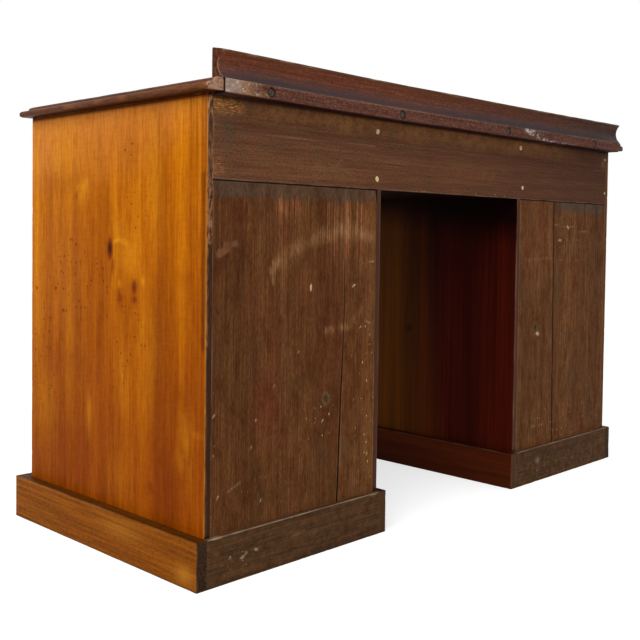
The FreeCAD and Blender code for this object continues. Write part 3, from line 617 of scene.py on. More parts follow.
board = Board((0, 2, 1), (-UPPER_HALF, UPPER_HALF), box_corners(SEAM, TOP_UNDER, CARCASS_BACK, BACK_BOARD_FACE),
              (2.0, 3, 30, 3), 2.2, 100, arris=0.7, chip=1.6)
x, z = board.flat()
torn_z = z + 6 * ragged(x, z, 60, 30, 101)
under_top = ramp(torn_z, 679, 24) * np.clip((520 - x) / 200, 0.5, 1) * ramp(x, -480, 200)
lines = strokes(x, z, [
    (543, 668, 400, 667.5, 0.7, 0.3), (400, 667.5, 233, 669, 0.7, 0.2), (330, 628, 318, 640, 0.9, 0.2),
    (474, 700, 468, 708, 1.0, 0.35)])
marks = dict(
    grain=board.grain(),
    # Real bleaching, and painted light in the strip's shadow.
    bleached=held(0.75 * under_top + blots(x, z, [
        (-60, 640, 120, 20, 0.2), (380, 620, 160, 18, 0.25), (430, 700, 110, 12, 0.35)])),
    smudged=blots(x, torn_z, [
        (562, 665, 14, 30, 0.5), (520, 708, 12, 12, 0.4), (190, 690, 10, 16, 0.4)]),
    bare=blots(x, torn_z, [
        (572, 702, 26, 10, 1.0), (548, 700, 16, 8, 0.9), (580, 611, 10, 14, 0.3), (-575, 690, 8, 12, 0.3)]),
    jointed=ramp(z, 596.0, -0.6),
    flecked=blots(x, z, [(-60, 597, 190, 5, 1.0), (0, 660, 500, 50, 0.12)]),
    dulled=ramp(x, 120, -620),
    # Painted shade under the strip.
    dirty=ramp(z, 710, 4) * 0.8,
    scratched=lines,
)
board.raise_face(CARCASS_BACK, 0.35 * waver(x, z, 220, 40, 102) - 0.3 * lines)
board.make("upper_back", upper_back_wood, "back_wood", "upper_back_board", **marks)

# Filled nail holes. Buttons of pale, cracked putty, pressed over the punched nails that hold the upper back board
# and left a little proud, with ragged rims.
PUTTY = ((226, 694, 4.6), (226, 613, 4.4), (-224, 699, 5.0), (-233, 618, 4.6), (-584, 698, 2.6), (-585, 621, 2.6))
BUTTON_HIGH, BUTTON_SINK, BUTTON_FRONT_RINGS = 0.5, 1.0, 6


def finish_in_room(name):
    """A finish whose noise is placed by the room and not by the grain."""
    f = Finish(name)
    f.place = f.put("TexCoord").outputs["Object"]
    return f


def circle(count):
    """Turns round a circle, as one row."""
    return np.linspace(0, 2 * math.pi, count, endpoint=False)[None]


def rings_about(x, z, radius, y, turn):
    """Rings that stand upright: the point (x + radius * cos(turn), y, z + radius * sin(turn)) at each turn."""
    return np.stack([x + radius * np.cos(turn), y + 0 * turn, z + radius * np.sin(turn)], axis=-1)


f = finish_in_room("putty")
crumb = f.noise((900, 900), detail=4)
f.colour = f.tones(crumb, 0.35, 0.65, (170, 136, 84), (240, 218, 170))
putty = f.coat(crumb, (0.7, 0.9), crumb, 0.0004, gloss=0.2)

# Radius reach * s with a ragged rim and height rise * (1 - s^2), for s from 0 at the middle to 1 at the rim, and
# then a flat ring behind.
share = np.array([0.001, 0.3, 0.55, 0.75, 0.9, 1.0, 0.9, 0.3])[:, None]
turn = circle(24)
on_front = np.arange(len(share))[:, None] < BUTTON_FRONT_RINGS
for k, (x, z, reach) in enumerate(PUTTY):
    radius = share * reach * (1 + 0.2 * waver(8 * np.cos(turn), 8 * np.sin(turn), 5, 5, 120 + k))
    height = np.where(on_front, BUTTON_HIGH * (1 - share ** 2), -BUTTON_SINK)
    fitted(skin(f"putty_{k + 1}", rings_about(x, z, radius, CARCASS_BACK + height, turn), {}), putty)

# Back boards. Two upright boards of the same stained softwood close the back of each pedestal. They have shrunk
# apart, and the near pair's joint has opened towards the floor.
BOARD_LOW, BOARD_HIGH = 73.0, 594.2
INNER_EDGE, OUTER_EDGE = 226.4, 589.1
NEAR_JOINT = ((75, 317.0), (276, 309.5), (359, 305.5), (425, 305.0), (596, 308.0))
NEAR_GAP = ((75, 4.2), (276, 3.2), (359, 2.2), (425, 1.0), (596, 0.7))
FAR_JOINT = ((83, 370.0), (340, 364.0), (596, 359.5))
FAR_GAP = ((83, 1.6), (340, 1.0), (596, 0.8))
RIDGE_PITCH = 4.4

f = wood("back_board_wood", (22, 210, 500), (0.5, 0.35, 0.8))
stipple = f.noise((110, 380), (1, 7, 3))
cloud = f.noise((12, 20), (4, 4, 4), 4, 0.65)
lines = f.noise((3.5, 330), (3, 1, 7), 2, 0.6)
dents = f.noise((24, 60), (6, 1, 2), 4, 0.65)
f.colour = f.tones(f.figure, 0.3, 0.7, (78, 45, 20), (105, 66, 33), (133, 89, 49))
f.over((90, 62, 34), (cloud, 0.5, 0.64), 0.5)
f.over((104, 52, 28), (cloud, 0.46, 0.34), 0.35)
f.over((110, 48, 26), "reddened", (cloud, 0.3, 0.6, 0.25, 0.65))
f.tint((234, 228, 226), "aged")
f.over((172, 108, 72), "ridged", (lines, 0.42, 0.58))
f.over((168, 124, 82), "wiped", (lines, 0.38, 0.58, 0.3, 1.0))
f.over((84, 67, 54), "greyed", (f.fibres, 0.3, 0.6, 0.65, 1.0))
f.over((104, 84, 58), ("knot", 0.05, 0.3), 0.6)
f.over((52, 42, 28), ("knot", 0.3, 0.7), 0.8)
f.tint((224, 212, 200), (stipple, 0.42, 0.6))
f.tint((226, 216, 204), (dents, 0.44, 0.66))
f.over((222, 176, 122), f.specks(130, 0.18, 0.22, (0.5, 1.4, 1)), ("flecked", 0.1, 0.8))
f.over((230, 196, 150), "chipped")
f.over((140, 96, 66), "pink", (dents, 0.4, 0.56, 0.4, 1.0))
f.over((166, 124, 90), "worn", 0.3)
# Dark joints and seams, and painted shade on the edge faces inside the joints.
f.over((14, 8, 6), "jointed")
back_board_wood = f.coat(dents, (0.6, 0.8), f.sum("ADD", f.fibres, stipple), 0.0004, gloss=0.06)


def along_line(place, line):
    """The value at a place, from (place, value) pairs joined by straight runs."""
    return np.interp(place, *zip(*line))


def near_marks(x, z, torn_x, torn_z):
    """What time has drawn on the near pedestal's back; torn_x and torn_z give a mark a ragged outline."""
    return dict(
        greyed=ramp(torn_z, 567, 9) * (0.75 + 0.2 * waver(x, z, 60, 12, 180)),
        ridged=held(blots(x, torn_z, [
            (332, 550, 22, 26, 0.55), (298, 552, 10, 30, 1.0), (271, 552, 10, 30, 1.0), (254, 548, 12, 30, 0.45),
            (300, 500, 14, 46, 0.6), (266, 500, 14, 40, 0.5), (332, 500, 22, 44, 0.4), (452, 562, 7, 22, 0.8),
            (434, 560, 26, 22, 0.45), (446, 500, 8, 90, 0.25)]) - 0.8 * blots(x, torn_z, [(284, 520, 5, 70, 1.0)])),
        wiped=strokes(torn_x, torn_z, [
            (470, 460, 458, 474, 7, 0.75), (450, 474, 436, 488, 13, 0.55), (436, 488, 400, 502, 13, 0.4),
            (400, 502, 360, 514, 12, 0.4), (360, 514, 320, 524, 13, 0.65), (320, 524, 270, 522, 13, 0.7),
            (270, 520, 240, 514, 9, 0.65), (468, 440, 470, 474, 3, 0.6), (349, 359, 336, 362, 6, 0.6),
            (312, 362, 296, 362, 6, 0.55), (293, 366, 262, 392, 7, 0.35), (457, 576, 442, 321, 6, 0.12)]),
        reddened=blots(torn_x, z, [
            (478, 252, 30, 64, 0.9), (400, 440, 20, 70, 0.4), (330, 330, 50, 120, 0.5), (540, 540, 40, 40, 0.35),
            (256, 250, 26, 90, 0.35), (500, 400, 40, 60, 0.3)]),
        flecked=blots(x, z, [
            (360, 215, 40, 40, 0.8), (480, 120, 110, 50, 0.35), (255, 280, 28, 120, 1.0), (240, 160, 26, 80, 1.0),
            (440, 290, 90, 60, 0.25), (584, 200, 5, 130, 0.4)]),
        chipped=held(strokes(x, z, [
            (385, 436, 385, 428, 1.3, 1.2), (285, 431, 280, 433, 1.0, 0.9), (413, 328, 411, 332, 0.6, 0.5),
            (465, 279, 463, 284, 0.6, 0.5), (356, 211, 354, 215, 0.7, 0.7), (373, 211, 372, 215, 0.6, 0.6),
            (585, 249, 583, 252, 0.9, 0.6), (577, 126, 575, 130, 0.7, 0.6), (490, 107, 489, 111, 0.6, 0.5),
            (227, 150, 226, 154, 0.7, 0.6), (245, 140, 244, 144, 0.7, 0.6), (502, 231, 501, 234, 0.7, 0.5),
            (510, 193, 509, 196, 0.7, 0.4), (262, 470, 232, 472, 0.6, 0.25), (556, 134, 532, 144, 1.4, 0.12),
            (252, 372, 238, 366, 1.0, 0.25)])),
        pink=0.4 * held((strokes(torn_x, torn_z, [(278, 104, 266, 97, 4.5, 1.0)])
                         + strokes(x, z, [(576, 488, 560, 495, 9, 1.0), (564, 500, 545, 502, 6, 1.0)])
                         + 0.5 * ragged(x, z, 9, 9, 181) - 0.42) / 0.25),
    )


def far_marks(x, z, torn_x, torn_z):
    """The same for the far pedestal's back, which has fewer."""
    return dict(
        greyed=ramp(torn_z, 570, 6) * held((-x - 362) / 8),
        ridged=blots(x, torn_z, [(-300, 480, 50, 70, 0.15)]),
        wiped=strokes(torn_x, torn_z, [(-250, 470, -340, 472, 3, 0.3), (-340, 520, -350, 470, 3, 0.4)]),
        reddened=blots(torn_x, z, [(-300, 510, 26, 40, 0.5), (-290, 540, 60, 40, 0.2)]),
        pink=0 * x,
        flecked=blots(x, z, [(-400, 120, 200, 60, 0.6), (-420, 500, 120, 90, 0.4)]),
        chipped=strokes(x, z, [
            (-367, 545, -410, 541, 0.8, 0.13), (-422, 540, -455, 543, 0.8, 0.15), (-378, 468, -470, 466, 0.8, 0.1),
            (-446, 533, -520, 530, 0.7, 0.1), (-300, 314, -306, 312, 2.5, 0.9), (-384, 512, -394, 510, 1.5, 0.6),
            (-418, 542, -424, 538, 1.5, 0.8)]),
    )


for name, node, sign, inner, step, seed, aged, knots in (
        ("near_inner", "right_inner", 1, True, 2.2, 140, 0.0, []),
        ("near_outer", "right_outer", 1, False, 2.2, 150, 1.0, [(249, 347, 8)]),
        ("far_inner", "left_inner", -1, True, 3.0, 160, 0.3, [(326, -293, 9)]),
        ("far_outer", "left_outer", -1, False, 3.0, 170, 0.3, [])):
    is_near = sign > 0
    joint, gap = (NEAR_JOINT, NEAR_GAP) if is_near else (FAR_JOINT, FAR_GAP)
    edge, middle = INNER_EDGE if inner else OUTER_EDGE, joint[-1][1]
    board = Board((2, 0, 1), (BOARD_LOW, BOARD_HIGH),
                  box_corners(*sorted((sign * edge, sign * middle)), CARCASS_BACK, BACK_BOARD_FACE),
                  (step, 2.5, 30, 2.5), step * 1.1, seed, arris=0.7, chip=1.5)
    z, x = board.flat()
    # The board is stretched so that one edge follows the joint's line, less half the gap. The other is straight, but
    # the near inner board's is worn away by up to 3.2 mm at its top.
    target = along_line(z, joint) + (-0.5 if inner else 0.5) * along_line(z, gap)
    start = edge + (ramp(z, 558, 32) ** 2 * 3.2 if inner and is_near else 0 * z)
    x[:] = sign * (start + (sign * x - edge) / (middle - edge) * (target - start))
    torn_z, torn_x = z + 5 * ragged(x, z, 22, 30, seed + 3), x + 2 * ragged(z, x, 25, 25, seed + 4)
    seam = held((z - BOARD_HIGH + 1.6) / 0.8)
    crack = held(1.2 - np.abs(np.abs(x) - along_line(z, joint)) / (2.0 if is_near else 3.2))
    crack *= np.interp(z, [300, 430, 480], [1, 0.7, 0.2]) if is_near else 1
    # Painted shade: the edge faces inside the joint are darkened as if in the gap's shadow.
    shaded_joint_side = board.on_side(0, sign * middle) * ramp(board.points[..., 1], 246.2, -1.0)
    marks = dict(
        grain=board.grain([(u, v, 2.6 * reach) for u, v, reach in knots]),
        aged=0 * z + aged,
        knot=blots(z, x, [(u, v, 1.2 * reach, reach, 0.75) for u, v, reach in knots]),
        jointed=np.maximum(shaded_joint_side, np.maximum(seam, crack)),
        **(near_marks if is_near else far_marks)(x, z, torn_x, torn_z),
    )
    ridge = np.sin(2 * math.pi * (x + 0.6 * ragged(z, x, 90, 12, seed + 5)) / RIDGE_PITCH)
    board.raise_face(CARCASS_BACK, 0.12 * ridge + 0.4 * waver(z, x, 200, 50, seed + 2)
                     + 0.25 * marks["ridged"] * ridge)
    board.make(f"back_board_{name}", back_board_wood, "back_wood", f"back_board_{node}", **marks)

# Rails, floors and soffit. Plain boards stained like the front along their front edges: two long rails above and
# below the frieze drawers, two short rails in each pedestal, a floor in each and a thin soffit over the kneehole.
# The floors are tucked a little way down behind the plinths.
RAIL_BACK = CARCASS_FRONT + 60.0
FRIEZE_LOW, FRIEZE_HIGH = 613.0, 701.0
UPPER_RAIL, LOWER_RAIL = (430.98, 448.98), (257.14, 275.14)
FLOOR_TOP, FLOOR_TUCK = 91.0, 4.0
SOFFIT_HALF, SOFFIT_TOP = 221.0, 603.0

f = wood("rail_wood", (24, 170, 900), (1.0, 0.5, 0.35))
f.colour = f.tones(f.figure, 0.36, 0.64, (84, 40, 22), (132, 72, 40))
f.over((176, 128, 88), "worn", 0.5)
rail_wood = f.coat(f.growth, (0.36, 0.5), f.fibres, 0.0002, gloss=0.25, varnish=0.08)


def rail(name, x0, x1, back, z0, z1, seed, stands_for=None):
    """A board that lies along X, from the carcass front to its back edge."""
    Board((0, 1, 2), (x0, x1), box_corners(CARCASS_FRONT, back, z0, z1), (12, 6, 12, 3), 6.0, seed, arris=0.6,
          chip=1.4).make(name, rail_wood, "front_wood", stands_for)


rail("rail_over_frieze", -PANEL_INNER, PANEL_INNER, RAIL_BACK, FRIEZE_HIGH, TOP_UNDER, 200, "frieze_top_rail")
rail("rail_under_frieze", -PANEL_INNER, PANEL_INNER, RAIL_BACK, SEAM, FRIEZE_LOW, 205, "frieze_bottom_rail")
for side, sign in (("left", -1), ("right", 1)):
    ends = sorted((sign * KNEE_BAY, sign * PANEL_INNER))
    for k, levels in enumerate((UPPER_RAIL, LOWER_RAIL)):
        rail(f"rail_{side}_{k + 1}", *ends, RAIL_BACK, *levels, 210 + 10 * k + sign,
             "pedestal_rails" if (side, k) == ("left", 0) else None)
    rail(f"floor_{side}", *ends, BACK_BOARD_FACE, PLINTH_TOP - FLOOR_TUCK, FLOOR_TOP, 230 + sign,
         f"pedestal_floor_{side}")
soffit = Board((0, 1, 2), (-SOFFIT_HALF, SOFFIT_HALF), box_corners(RAIL_BACK, BACK_BOARD_FACE, SEAM, SOFFIT_TOP),
               (6, 3, 30, 3), 6.0, 240, arris=0.4, chip=0.5)
# The soffit gets the painted shade all over.
soffit.make("soffit", kneehole_wood, "kneehole_wood", "kneehole_soffit", sooty=1 + 0 * soffit.lost)

# Plinths. A skirt of four boards round each pedestal's foot, mitred at the front corners and butted behind, with
# the grain running round. The outer sides are polished, and the rear ones are stained and knocked about.
SKIRT_OUT, SKIRT_IN, SKIRT_FRONT, SKIRT_BACK = 620.0, 200.0, -267.0, 255.0

f = wood("plinth_side_wood", (26, 200, 500), (0.4, 0.5, 0.9))
soil = f.noise((120, 260), (3, 3, 3), 4)
f.colour = f.tones(f.figure, 0.32, 0.68, (98, 48, 0), (124, 66, 4), (150, 86, 12))
f.tint((230, 212, 190), (soil, 0.44, 0.66))
f.over((196, 130, 40), "bright")
f.over(f.mixed((62, 42, 26), (180, 170, 160), (soil, 0.44, 0.6), blend="MULTIPLY"), "butt")
f.over((200, 146, 90), "worn", 0.5)
f.tint((84, 80, 72), "grimy")
plinth_side_wood = f.coat(soil, (0.45, 0.6), f.fibres, 0.0002, gloss=0.03, varnish=0.01, varnish_rough=0.4)

f = wood("plinth_rear_wood", (30, 200, 700), (0.3, 0.5, 0.8))
soil = f.noise((70, 80), (3, 3, 3), 5, 0.75)
f.colour = f.tones(f.figure, 0.3, 0.7, (54, 34, 18), (74, 49, 27), (94, 64, 37))
f.over((50, 32, 18), (soil, 0.5, 0.66), 0.6)
f.over((110, 66, 34), (soil, 0.47, 0.34), 0.5)
f.over((206, 176, 140), f.specks(130, 0.12, 0.3), "flecked")
f.over((178, 150, 120), "chipped")
f.over((180, 160, 138), "worn", 0.7)
f.tint((110, 96, 84), "grimy")
plinth_rear_wood = f.coat(soil, (0.6, 0.85), f.sum("ADD", f.fibres, soil), 0.0004, gloss=0.06)

f = wood("plinth_knee_wood", (26, 180, 900), (1.0, 0.5, 0.35))
f.colour = f.tones(f.figure, 0.36, 0.64, (46, 12, 2), (78, 30, 8))
f.over((76, 49, 29), "butt")
f.over((150, 112, 84), "worn", 0.5)
f.tint((110, 96, 84), "grimy")
plinth_knee_wood = f.coat(f.growth, (0.45, 0.6), f.fibres, 0.0002, gloss=0.03)


def foot_grime(z):
    """Dirt on the lowest 7 mm of a plinth board and along its top edge."""
    return held(np.maximum((7 - z) / 10, (z - 71) / 2)) * 0.7


for side, sign in (("right", 1), ("left", -1)):
    # Side boards. They are stretched along Y so that the front end meets the mitre's slanted line,
    # y = front + (distance in from the outer face).
    for name, node, face, inner, finish, seed, step, arris in (
            ("outer", "outer", sign * SKIRT_OUT, sign * PANEL_OUTER, plinth_side_wood, 250 + sign, 3.0,
             0.7 if sign > 0 else 2.4),
            ("knee", "inner", sign * SKIRT_IN, sign * KNEE_FACE, plinth_knee_wood, 260 + sign, 4.0, 0.8)):
        board = Board((1, 2, 0), (SKIRT_FRONT, SKIRT_BACK), box_corners(0.0, PLINTH_TOP, face, inner),
                      (step, 2.5, 8, 4), step * 1.3, seed, arris=arris)
        y, z = board.flat()
        mitre = SKIRT_FRONT + np.abs(board.points[..., 0] - face)
        y[:] = SKIRT_BACK - (SKIRT_BACK - y) * (SKIRT_BACK - mitre) / (SKIRT_BACK - SKIRT_FRONT)
        lit = [(226, 20, 20, 14, 0.4), (60, 50, 60, 14, 0.25)] if name == "outer" else []
        marks = dict(grain=board.grain(), bright=blots(y, z, lit), butt=held((y - SKIRT_BACK + 1.2) / 0.8),
                     grimy=foot_grime(z), worn=board.worn() * np.where(y > SKIRT_BACK - 2, 0.25, 1.0))
        board.raise_face(face, 0.3 * waver(y, z, 140, 30, seed + 1) - 0.3)
        board.make(f"plinth_{name}_{side}", finish, "plinth_wood", f"plinth_{side}_{node}", **marks)

    # Front board, mitred at both ends in the same way.
    middle, half = sign * (SKIRT_OUT + SKIRT_IN) / 2, (SKIRT_OUT - SKIRT_IN) / 2
    board = Board((0, 2, 1), (middle - half, middle + half), box_corners(0.0, PLINTH_TOP, SKIRT_FRONT, CARCASS_FRONT),
                  (4.0, 3, 10, 4), 5.0, 270 + sign, arris=0.7, chip=1.8)
    x, z = board.flat()
    x[:] = middle + (x - middle) * (half - (board.points[..., 1] - SKIRT_FRONT)) / half
    board.raise_face(SKIRT_FRONT, 0.3 * waver(x, z, 140, 30, 271))
    board.make(f"plinth_front_{side}", plinth_side_wood, "plinth_wood", f"plinth_{side}_front", bright=0 * x,
               butt=0 * x, grimy=foot_grime(z))

    # Rear board, between the side boards.
    low, high = sorted((sign * KNEE_FACE, sign * PANEL_OUTER))
    board = Board((0, 2, 1), (low, high), box_corners(0.0, PLINTH_TOP, SKIRT_BACK, PLINTH_REAR_FACE),
                  (2.2 if sign > 0 else 3.0, 2, 8, 4), 2.5, 280 + sign, chip=2.4)
    x, z = board.flat()
    board.raise_face(SKIRT_BACK, 0.4 * waver(x, z, 120, 30, 281))
    if sign > 0:
        flecked = blots(x, z, [(532, 34, 45, 16, 1.0), (450, 20, 120, 20, 0.4)])
        chipped = strokes(x, z, [
            (400, 45, 430, 42, 2, 0.12), (225, 71, 240, 71, 1.2, 0.3), (575, 72, 590, 72, 1.2, 0.4),
            (535, 32, 530, 34, 1.6, 0.9), (507, 39, 503, 38, 1.5, 0.9), (558, 37, 556, 39, 1.2, 0.8),
            (527, 37, 524, 38, 1.2, 0.8)])
    else:
        flecked = blots(x, z, [(-400, 36, 200, 20, 0.6)])
        chipped = blots(x, z, [(-300, 44, 7, 6, 0.35), (-300, 24, 5, 5, 0.15)])
    beside_joint = held(1 - np.minimum(x - low, high - x) / 5)
    board.make(f"plinth_rear_{side}", plinth_rear_wood, "plinth_wood", f"plinth_{side}_rear", flecked=flecked,
               chipped=chipped, worn=board.worn(1.6) * (1 - beside_joint), grimy=held((6 - z) / 9) * 0.8)

# Writing top. One wide board between the edge mouldings and the strip along the back, polished red-brown, with
# the grain running from end to end.
TOP_HALF, WRITING_LEVEL = 592.0, 737.0
TOP_FRONT, TOP_BACK, STRIP_FRONT = -257.0, 275.0, 252.0
MOULD_WIDE = 28.0
BOARD_FRONT = TOP_FRONT + MOULD_WIDE

f = wood("top_wood", (14, 150, 900), (1.0, 0.5, 0.35))
flecks = f.noise((30, 420), (1, 4, 2), 2)
f.colour = f.tones(f.figure, 0.34, 0.66, (88, 42, 22), (122, 64, 34), (156, 92, 52))
f.tint((130, 90, 64), (flecks, 0.56, 0.72))
f.over((186, 132, 88), "worn", 0.45)
top_wood = f.coat(flecks, (0.3, 0.44), f.fibres, 0.00015, gloss=0.3, varnish=0.15)

board = Board((0, 1, 2), (-TOP_HALF, TOP_HALF), box_corners(BOARD_FRONT, STRIP_FRONT, WRITING_LEVEL, TOP_UNDER),
              (5, 4, 30, 4), 6.0, 300, arris=0.3, chip=0.4)
x, y = board.flat()
board.raise_face(WRITING_LEVEL, 0.12 * waver(x, y, 200, 80, 301) - 0.12)
board.make("writing_board", top_wood, "top_wood", "writing_top", worn=0 * x)

# Edge mouldings. Strips glued round the front and both ends of the top and mitred at the front corners: a rounded
# nose below, a narrow flat, then an ogee that rises to the writing surface. They stop just short behind.
NOSE_HIGH, NOSE_ROUND, NOSE_LAND, OGEE_WIDE, OGEE_LAND = 11.0, 5.0, 3.0, 8.0, 0.6
MOULD_BACK, CAP_FROM = 272.0, 264.0


def quarter_round(start, end, corner, count=6):
    """Points of a quarter round from start to end, bulging towards the corner where their tangents meet: the two
    legs from the centre are mixed by cosine and sine."""
    start, end, corner = (np.array(p, float) for p in (start, end, corner))
    centre = start + end - corner
    turn = np.linspace(0, math.pi / 2, count + 1)[:, None]
    return centre + (start - centre) * np.cos(turn) + (end - centre) * np.sin(turn)


def straight(start, end, count):
    """Points from start to end, evenly spaced."""
    return np.array(start, float) + (np.array(end, float) - start) * np.linspace(0, 1, count + 1)[:, None]


def moulding_ring():
    """The section as (out, up) from the inner lower corner: 20 points out along the underside and the nose's lower
    round, and 20 back over it. The ogee is two equal arcs that start level: gone sideways by R sin t and up by
    R (1 - cos t), with R = (width^2 + rise^2) / 4 rise."""
    thick = WRITING_LEVEL - TOP_UNDER
    crown = MOULD_WIDE - NOSE_LAND - NOSE_ROUND
    rise = thick - NOSE_HIGH - OGEE_LAND
    head = crown - OGEE_WIDE
    turn = np.linspace(0, 2 * math.atan2(rise, OGEE_WIDE), 5)
    radius = (OGEE_WIDE ** 2 + rise ** 2) / (4 * rise)
    side, lift = radius * np.sin(turn), radius * (1 - np.cos(turn))
    hollow = np.stack([crown - side, NOSE_HIGH + lift], axis=1)
    shoulder = np.stack([head + side, NOSE_HIGH + rise - lift], axis=1)[::-1]
    inner = MOULD_WIDE - NOSE_ROUND
    return np.concatenate([
        straight((0, 0), (inner, 0), 13)[:-1],
        quarter_round((inner, 0), (MOULD_WIDE, NOSE_ROUND), (MOULD_WIDE, 0)),
        quarter_round((MOULD_WIDE, NOSE_HIGH - NOSE_ROUND), (inner, NOSE_HIGH), (MOULD_WIDE, NOSE_HIGH)),
        hollow, shoulder[1:], straight((head, thick), (0, thick), 3)])


def carried(ring, start, end, step, place, seed, rub_depth=0.5):
    """The section carried along a straight run. start and end are (place, lean): lean times a section point's out is
    added to the place, so a mitre is a slanted end. place turns (along, out, up) into a point. Wear rubs the section
    inwards by a ragged 0 to rub_depth millimetres."""
    starts, ends = (at + lean * ring[:, 0] for at, lean in (start, end))
    run = float(np.max(ends - starts))
    along = starts + (ends - starts) * (places(0.0, run, step) / run)[:, None]
    out, up = np.broadcast_to(ring[:, 0], along.shape), np.broadcast_to(ring[:, 1], along.shape)
    turn = np.roll(ring, -1, axis=0) - np.roll(ring, 1, axis=0)
    normal = np.stack([turn[:, 1], -turn[:, 0]], axis=1)
    normal /= np.maximum(np.linalg.norm(normal, axis=1, keepdims=True), 1e-9)
    normal *= np.sign(((ring - ring.mean(axis=0)) * normal).sum())
    rubbed = held(ragged(along, out * 2 + up, 30, 12, seed))
    points = place(along, out - rub_depth * rubbed * normal[:, 0], up - rub_depth * rubbed * normal[:, 1])
    shift = np.random.default_rng(seed).uniform(2, 9, 3)
    return np.stack(points, axis=-1), np.stack([along, out, up], axis=-1) * MM + shift, along, out, up, rubbed


f = wood("moulding_wood", (40, 240, 900), (1.0, 0.5, 0.5))
f.colour = f.tones(f.figure, 0.3, 0.7, (56, 25, 7), (80, 41, 14), (108, 59, 25))
f.tint((190, 164, 140), (f.noise((60, 300), (2, 5, 5)), 0.46, 0.62))
f.over((140, 82, 38), "worn", 0.45)
pits = f.noise((200, 260), (5, 5, 5))
f.over(f.mixed((164, 124, 100), (70, 44, 32), (pits, 0.54, 0.66)), "chipped")
moulding_wood = f.coat(f.growth, (0.36, 0.52), f.fibres, 0.0002, gloss=0.06, varnish=0.02)

ring = moulding_ring()
nose = blots(ring[:, 0], ring[:, 1], [(MOULD_WIDE, 6, 5, 5, 1.0), (12, 17.5, 4, 2, 0.5)])
side_run, front_run = ((BOARD_FRONT, -1), (MOULD_BACK, 0), 4.0), ((-TOP_HALF, -1), (TOP_HALF, 1), 5.0)
for name, run, seed, place in (
        ("right", side_run, 311, lambda y, out, up: (TOP_HALF + out, y, TOP_UNDER + up)),
        ("left", side_run, 309, lambda y, out, up: (-TOP_HALF - out, y, TOP_UNDER + up)),
        ("front", front_run, 315, lambda x, out, up: (x, BOARD_FRONT - out, TOP_UNDER + up))):
    points, grain, along, out, up, rubbed = carried(ring, *run, place, seed)
    # The near moulding is bare, pitted wood at its rear end.
    chipped = held((along - CAP_FROM + 4 * ragged(up, out, 8, 8, 3)) / 6) * 0.9 * (name == "right")
    marks = {"grain": grain, "worn": held(nose * (0.3 + rubbed * 2)), "chipped": chipped}
    fitted(skin(f"moulding_{name}", points, marks, sawn=True), moulding_wood, f"top_moulding_{name}")

# Strip along the back edge. A plain batten screwed to the back of the top between the end mouldings, hanging a
# little below it. It has settled in the middle with the gallery, and is scuffed, worn pale at the near end.
STRIP_UNDER = 715.5
SCREW_LEVEL, SCREWS = 726.25, (501, 194, -135, -479)
SUNK_REACH, SUNK_DEEP = 6.3, 1.6
# How far the strip and the gallery have sunk at places along X.
SETTLED = ((-597, 0), (-546, 0.3), (-327, 1.6), (-137, 2.2), (29, 2.2), (175, 2.9), (305, 2.3), (421, 1.25),
           (505, 0.5), (597, 0))

f = wood("strip_wood", (40, 240, 500), (0.3, 0.3, 0.6))
f.figure = f.both(f.figure, 0.5, f.noise((200, 380), (7, 2, 3)), 0.5)
dust = f.noise((60, 130), (4, 4, 4), 4)
f.colour = f.tones(f.figure, 0.34, 0.66, (54, 28, 22), (82, 48, 38), (116, 74, 58))
f.over((138, 102, 72), "tan", (dust, 0.34, 0.6, 0.4, 1.0))
f.over((146, 124, 112), "bare", (dust, 0.34, 0.6, 0.55, 1.0))
f.over((214, 204, 196), "scraped", (dust, 0.46, 0.54))
f.over((184, 152, 122), f.specks(120, 0.14, 0.3), "flecked")
f.over((196, 172, 150), "tan", (f.noise((120, 160), (1, 2, 8), 4, 0.75), 0.52, 0.64, 0.0, 0.8))
f.over((176, 140, 118), "worn", 0.5)
f.tint((120, 84, 80), "shaded")
# Painted shadow: a dark ring round each sunk screw and a dark end face on the strip.
f.over((18, 10, 8), "stained")
strip_wood = f.coat(dust, (0.55, 0.78), f.sum("ADD", f.fibres, dust), 0.0003, gloss=0.06)

board = Board((0, 2, 1), (-TOP_HALF, TOP_HALF), box_corners(STRIP_UNDER, WRITING_LEVEL, TOP_BACK, STRIP_FRONT),
              (1.6, 3, 6, 3), 1.8, 320, arris=0.5, chip=1.2)
x, z = board.flat()
around = np.min([np.hypot(x - at, z - SCREW_LEVEL) for at in SCREWS], axis=0)
torn_z = z + 3 * ragged(x, z, 12, 12, 321)
board.raise_face(TOP_BACK, -SUNK_DEEP * held((SUNK_REACH - around) / 1.5) + 0.15 * waver(x, z, 90, 20, 322) - 0.15
                 - 0.5 * blots(x, z, [(-235, 730, 20, 9, 1.0)]) * held(ragged(x, z, 9, 6, 323) + 0.4))
marks = dict(
    grain=board.grain(),
    bare=ramp(x + 8 * ragged(x, z, 12, 9, 324), 552, 14),
    tan=ramp(x + 26 * ragged(x, z, 18, 9, 325), 505, 50),
    scraped=blots(x, torn_z, [
        (-206, 734, 9, 4, 1.0), (-222, 730, 10, 5, 1.0), (-250, 725, 12, 5, 1.0), (-268, 720, 10, 4, 0.9),
        (-300, 717, 26, 2.5, 0.8), (-350, 717, 30, 2, 0.7)]),
    flecked=blots(x, z, [(350, 726, 200, 12, 0.5), (-180, 724, 120, 12, 0.5)]),
    # Painted shadow at the rims of the screw recesses and on the strip's end face.
    stained=held(np.maximum(1.2 * np.exp(-((around - 6.2) / 1.3) ** 2), (x - 591.2) / 0.6)),
    shaded=ramp(z, 718, -1.5),
)
z -= along_line(x, SETTLED)
board.make("strip", strip_wood, "top_wood", "rear_edge_strip", **marks)

# Screws through the strip. Old slotted steel heads, countersunk, browned and worn bright in the middle. They have
# gone down with the strip, and their slots stand at all angles.
SCREW_REACH, SCREW_SINK, SLOT_WIDE, SLOT_DEEP = 5.1, 0.8, 1.2, 1.2
SLANTS = (1.9, 1.4, 0.3, 2.6)

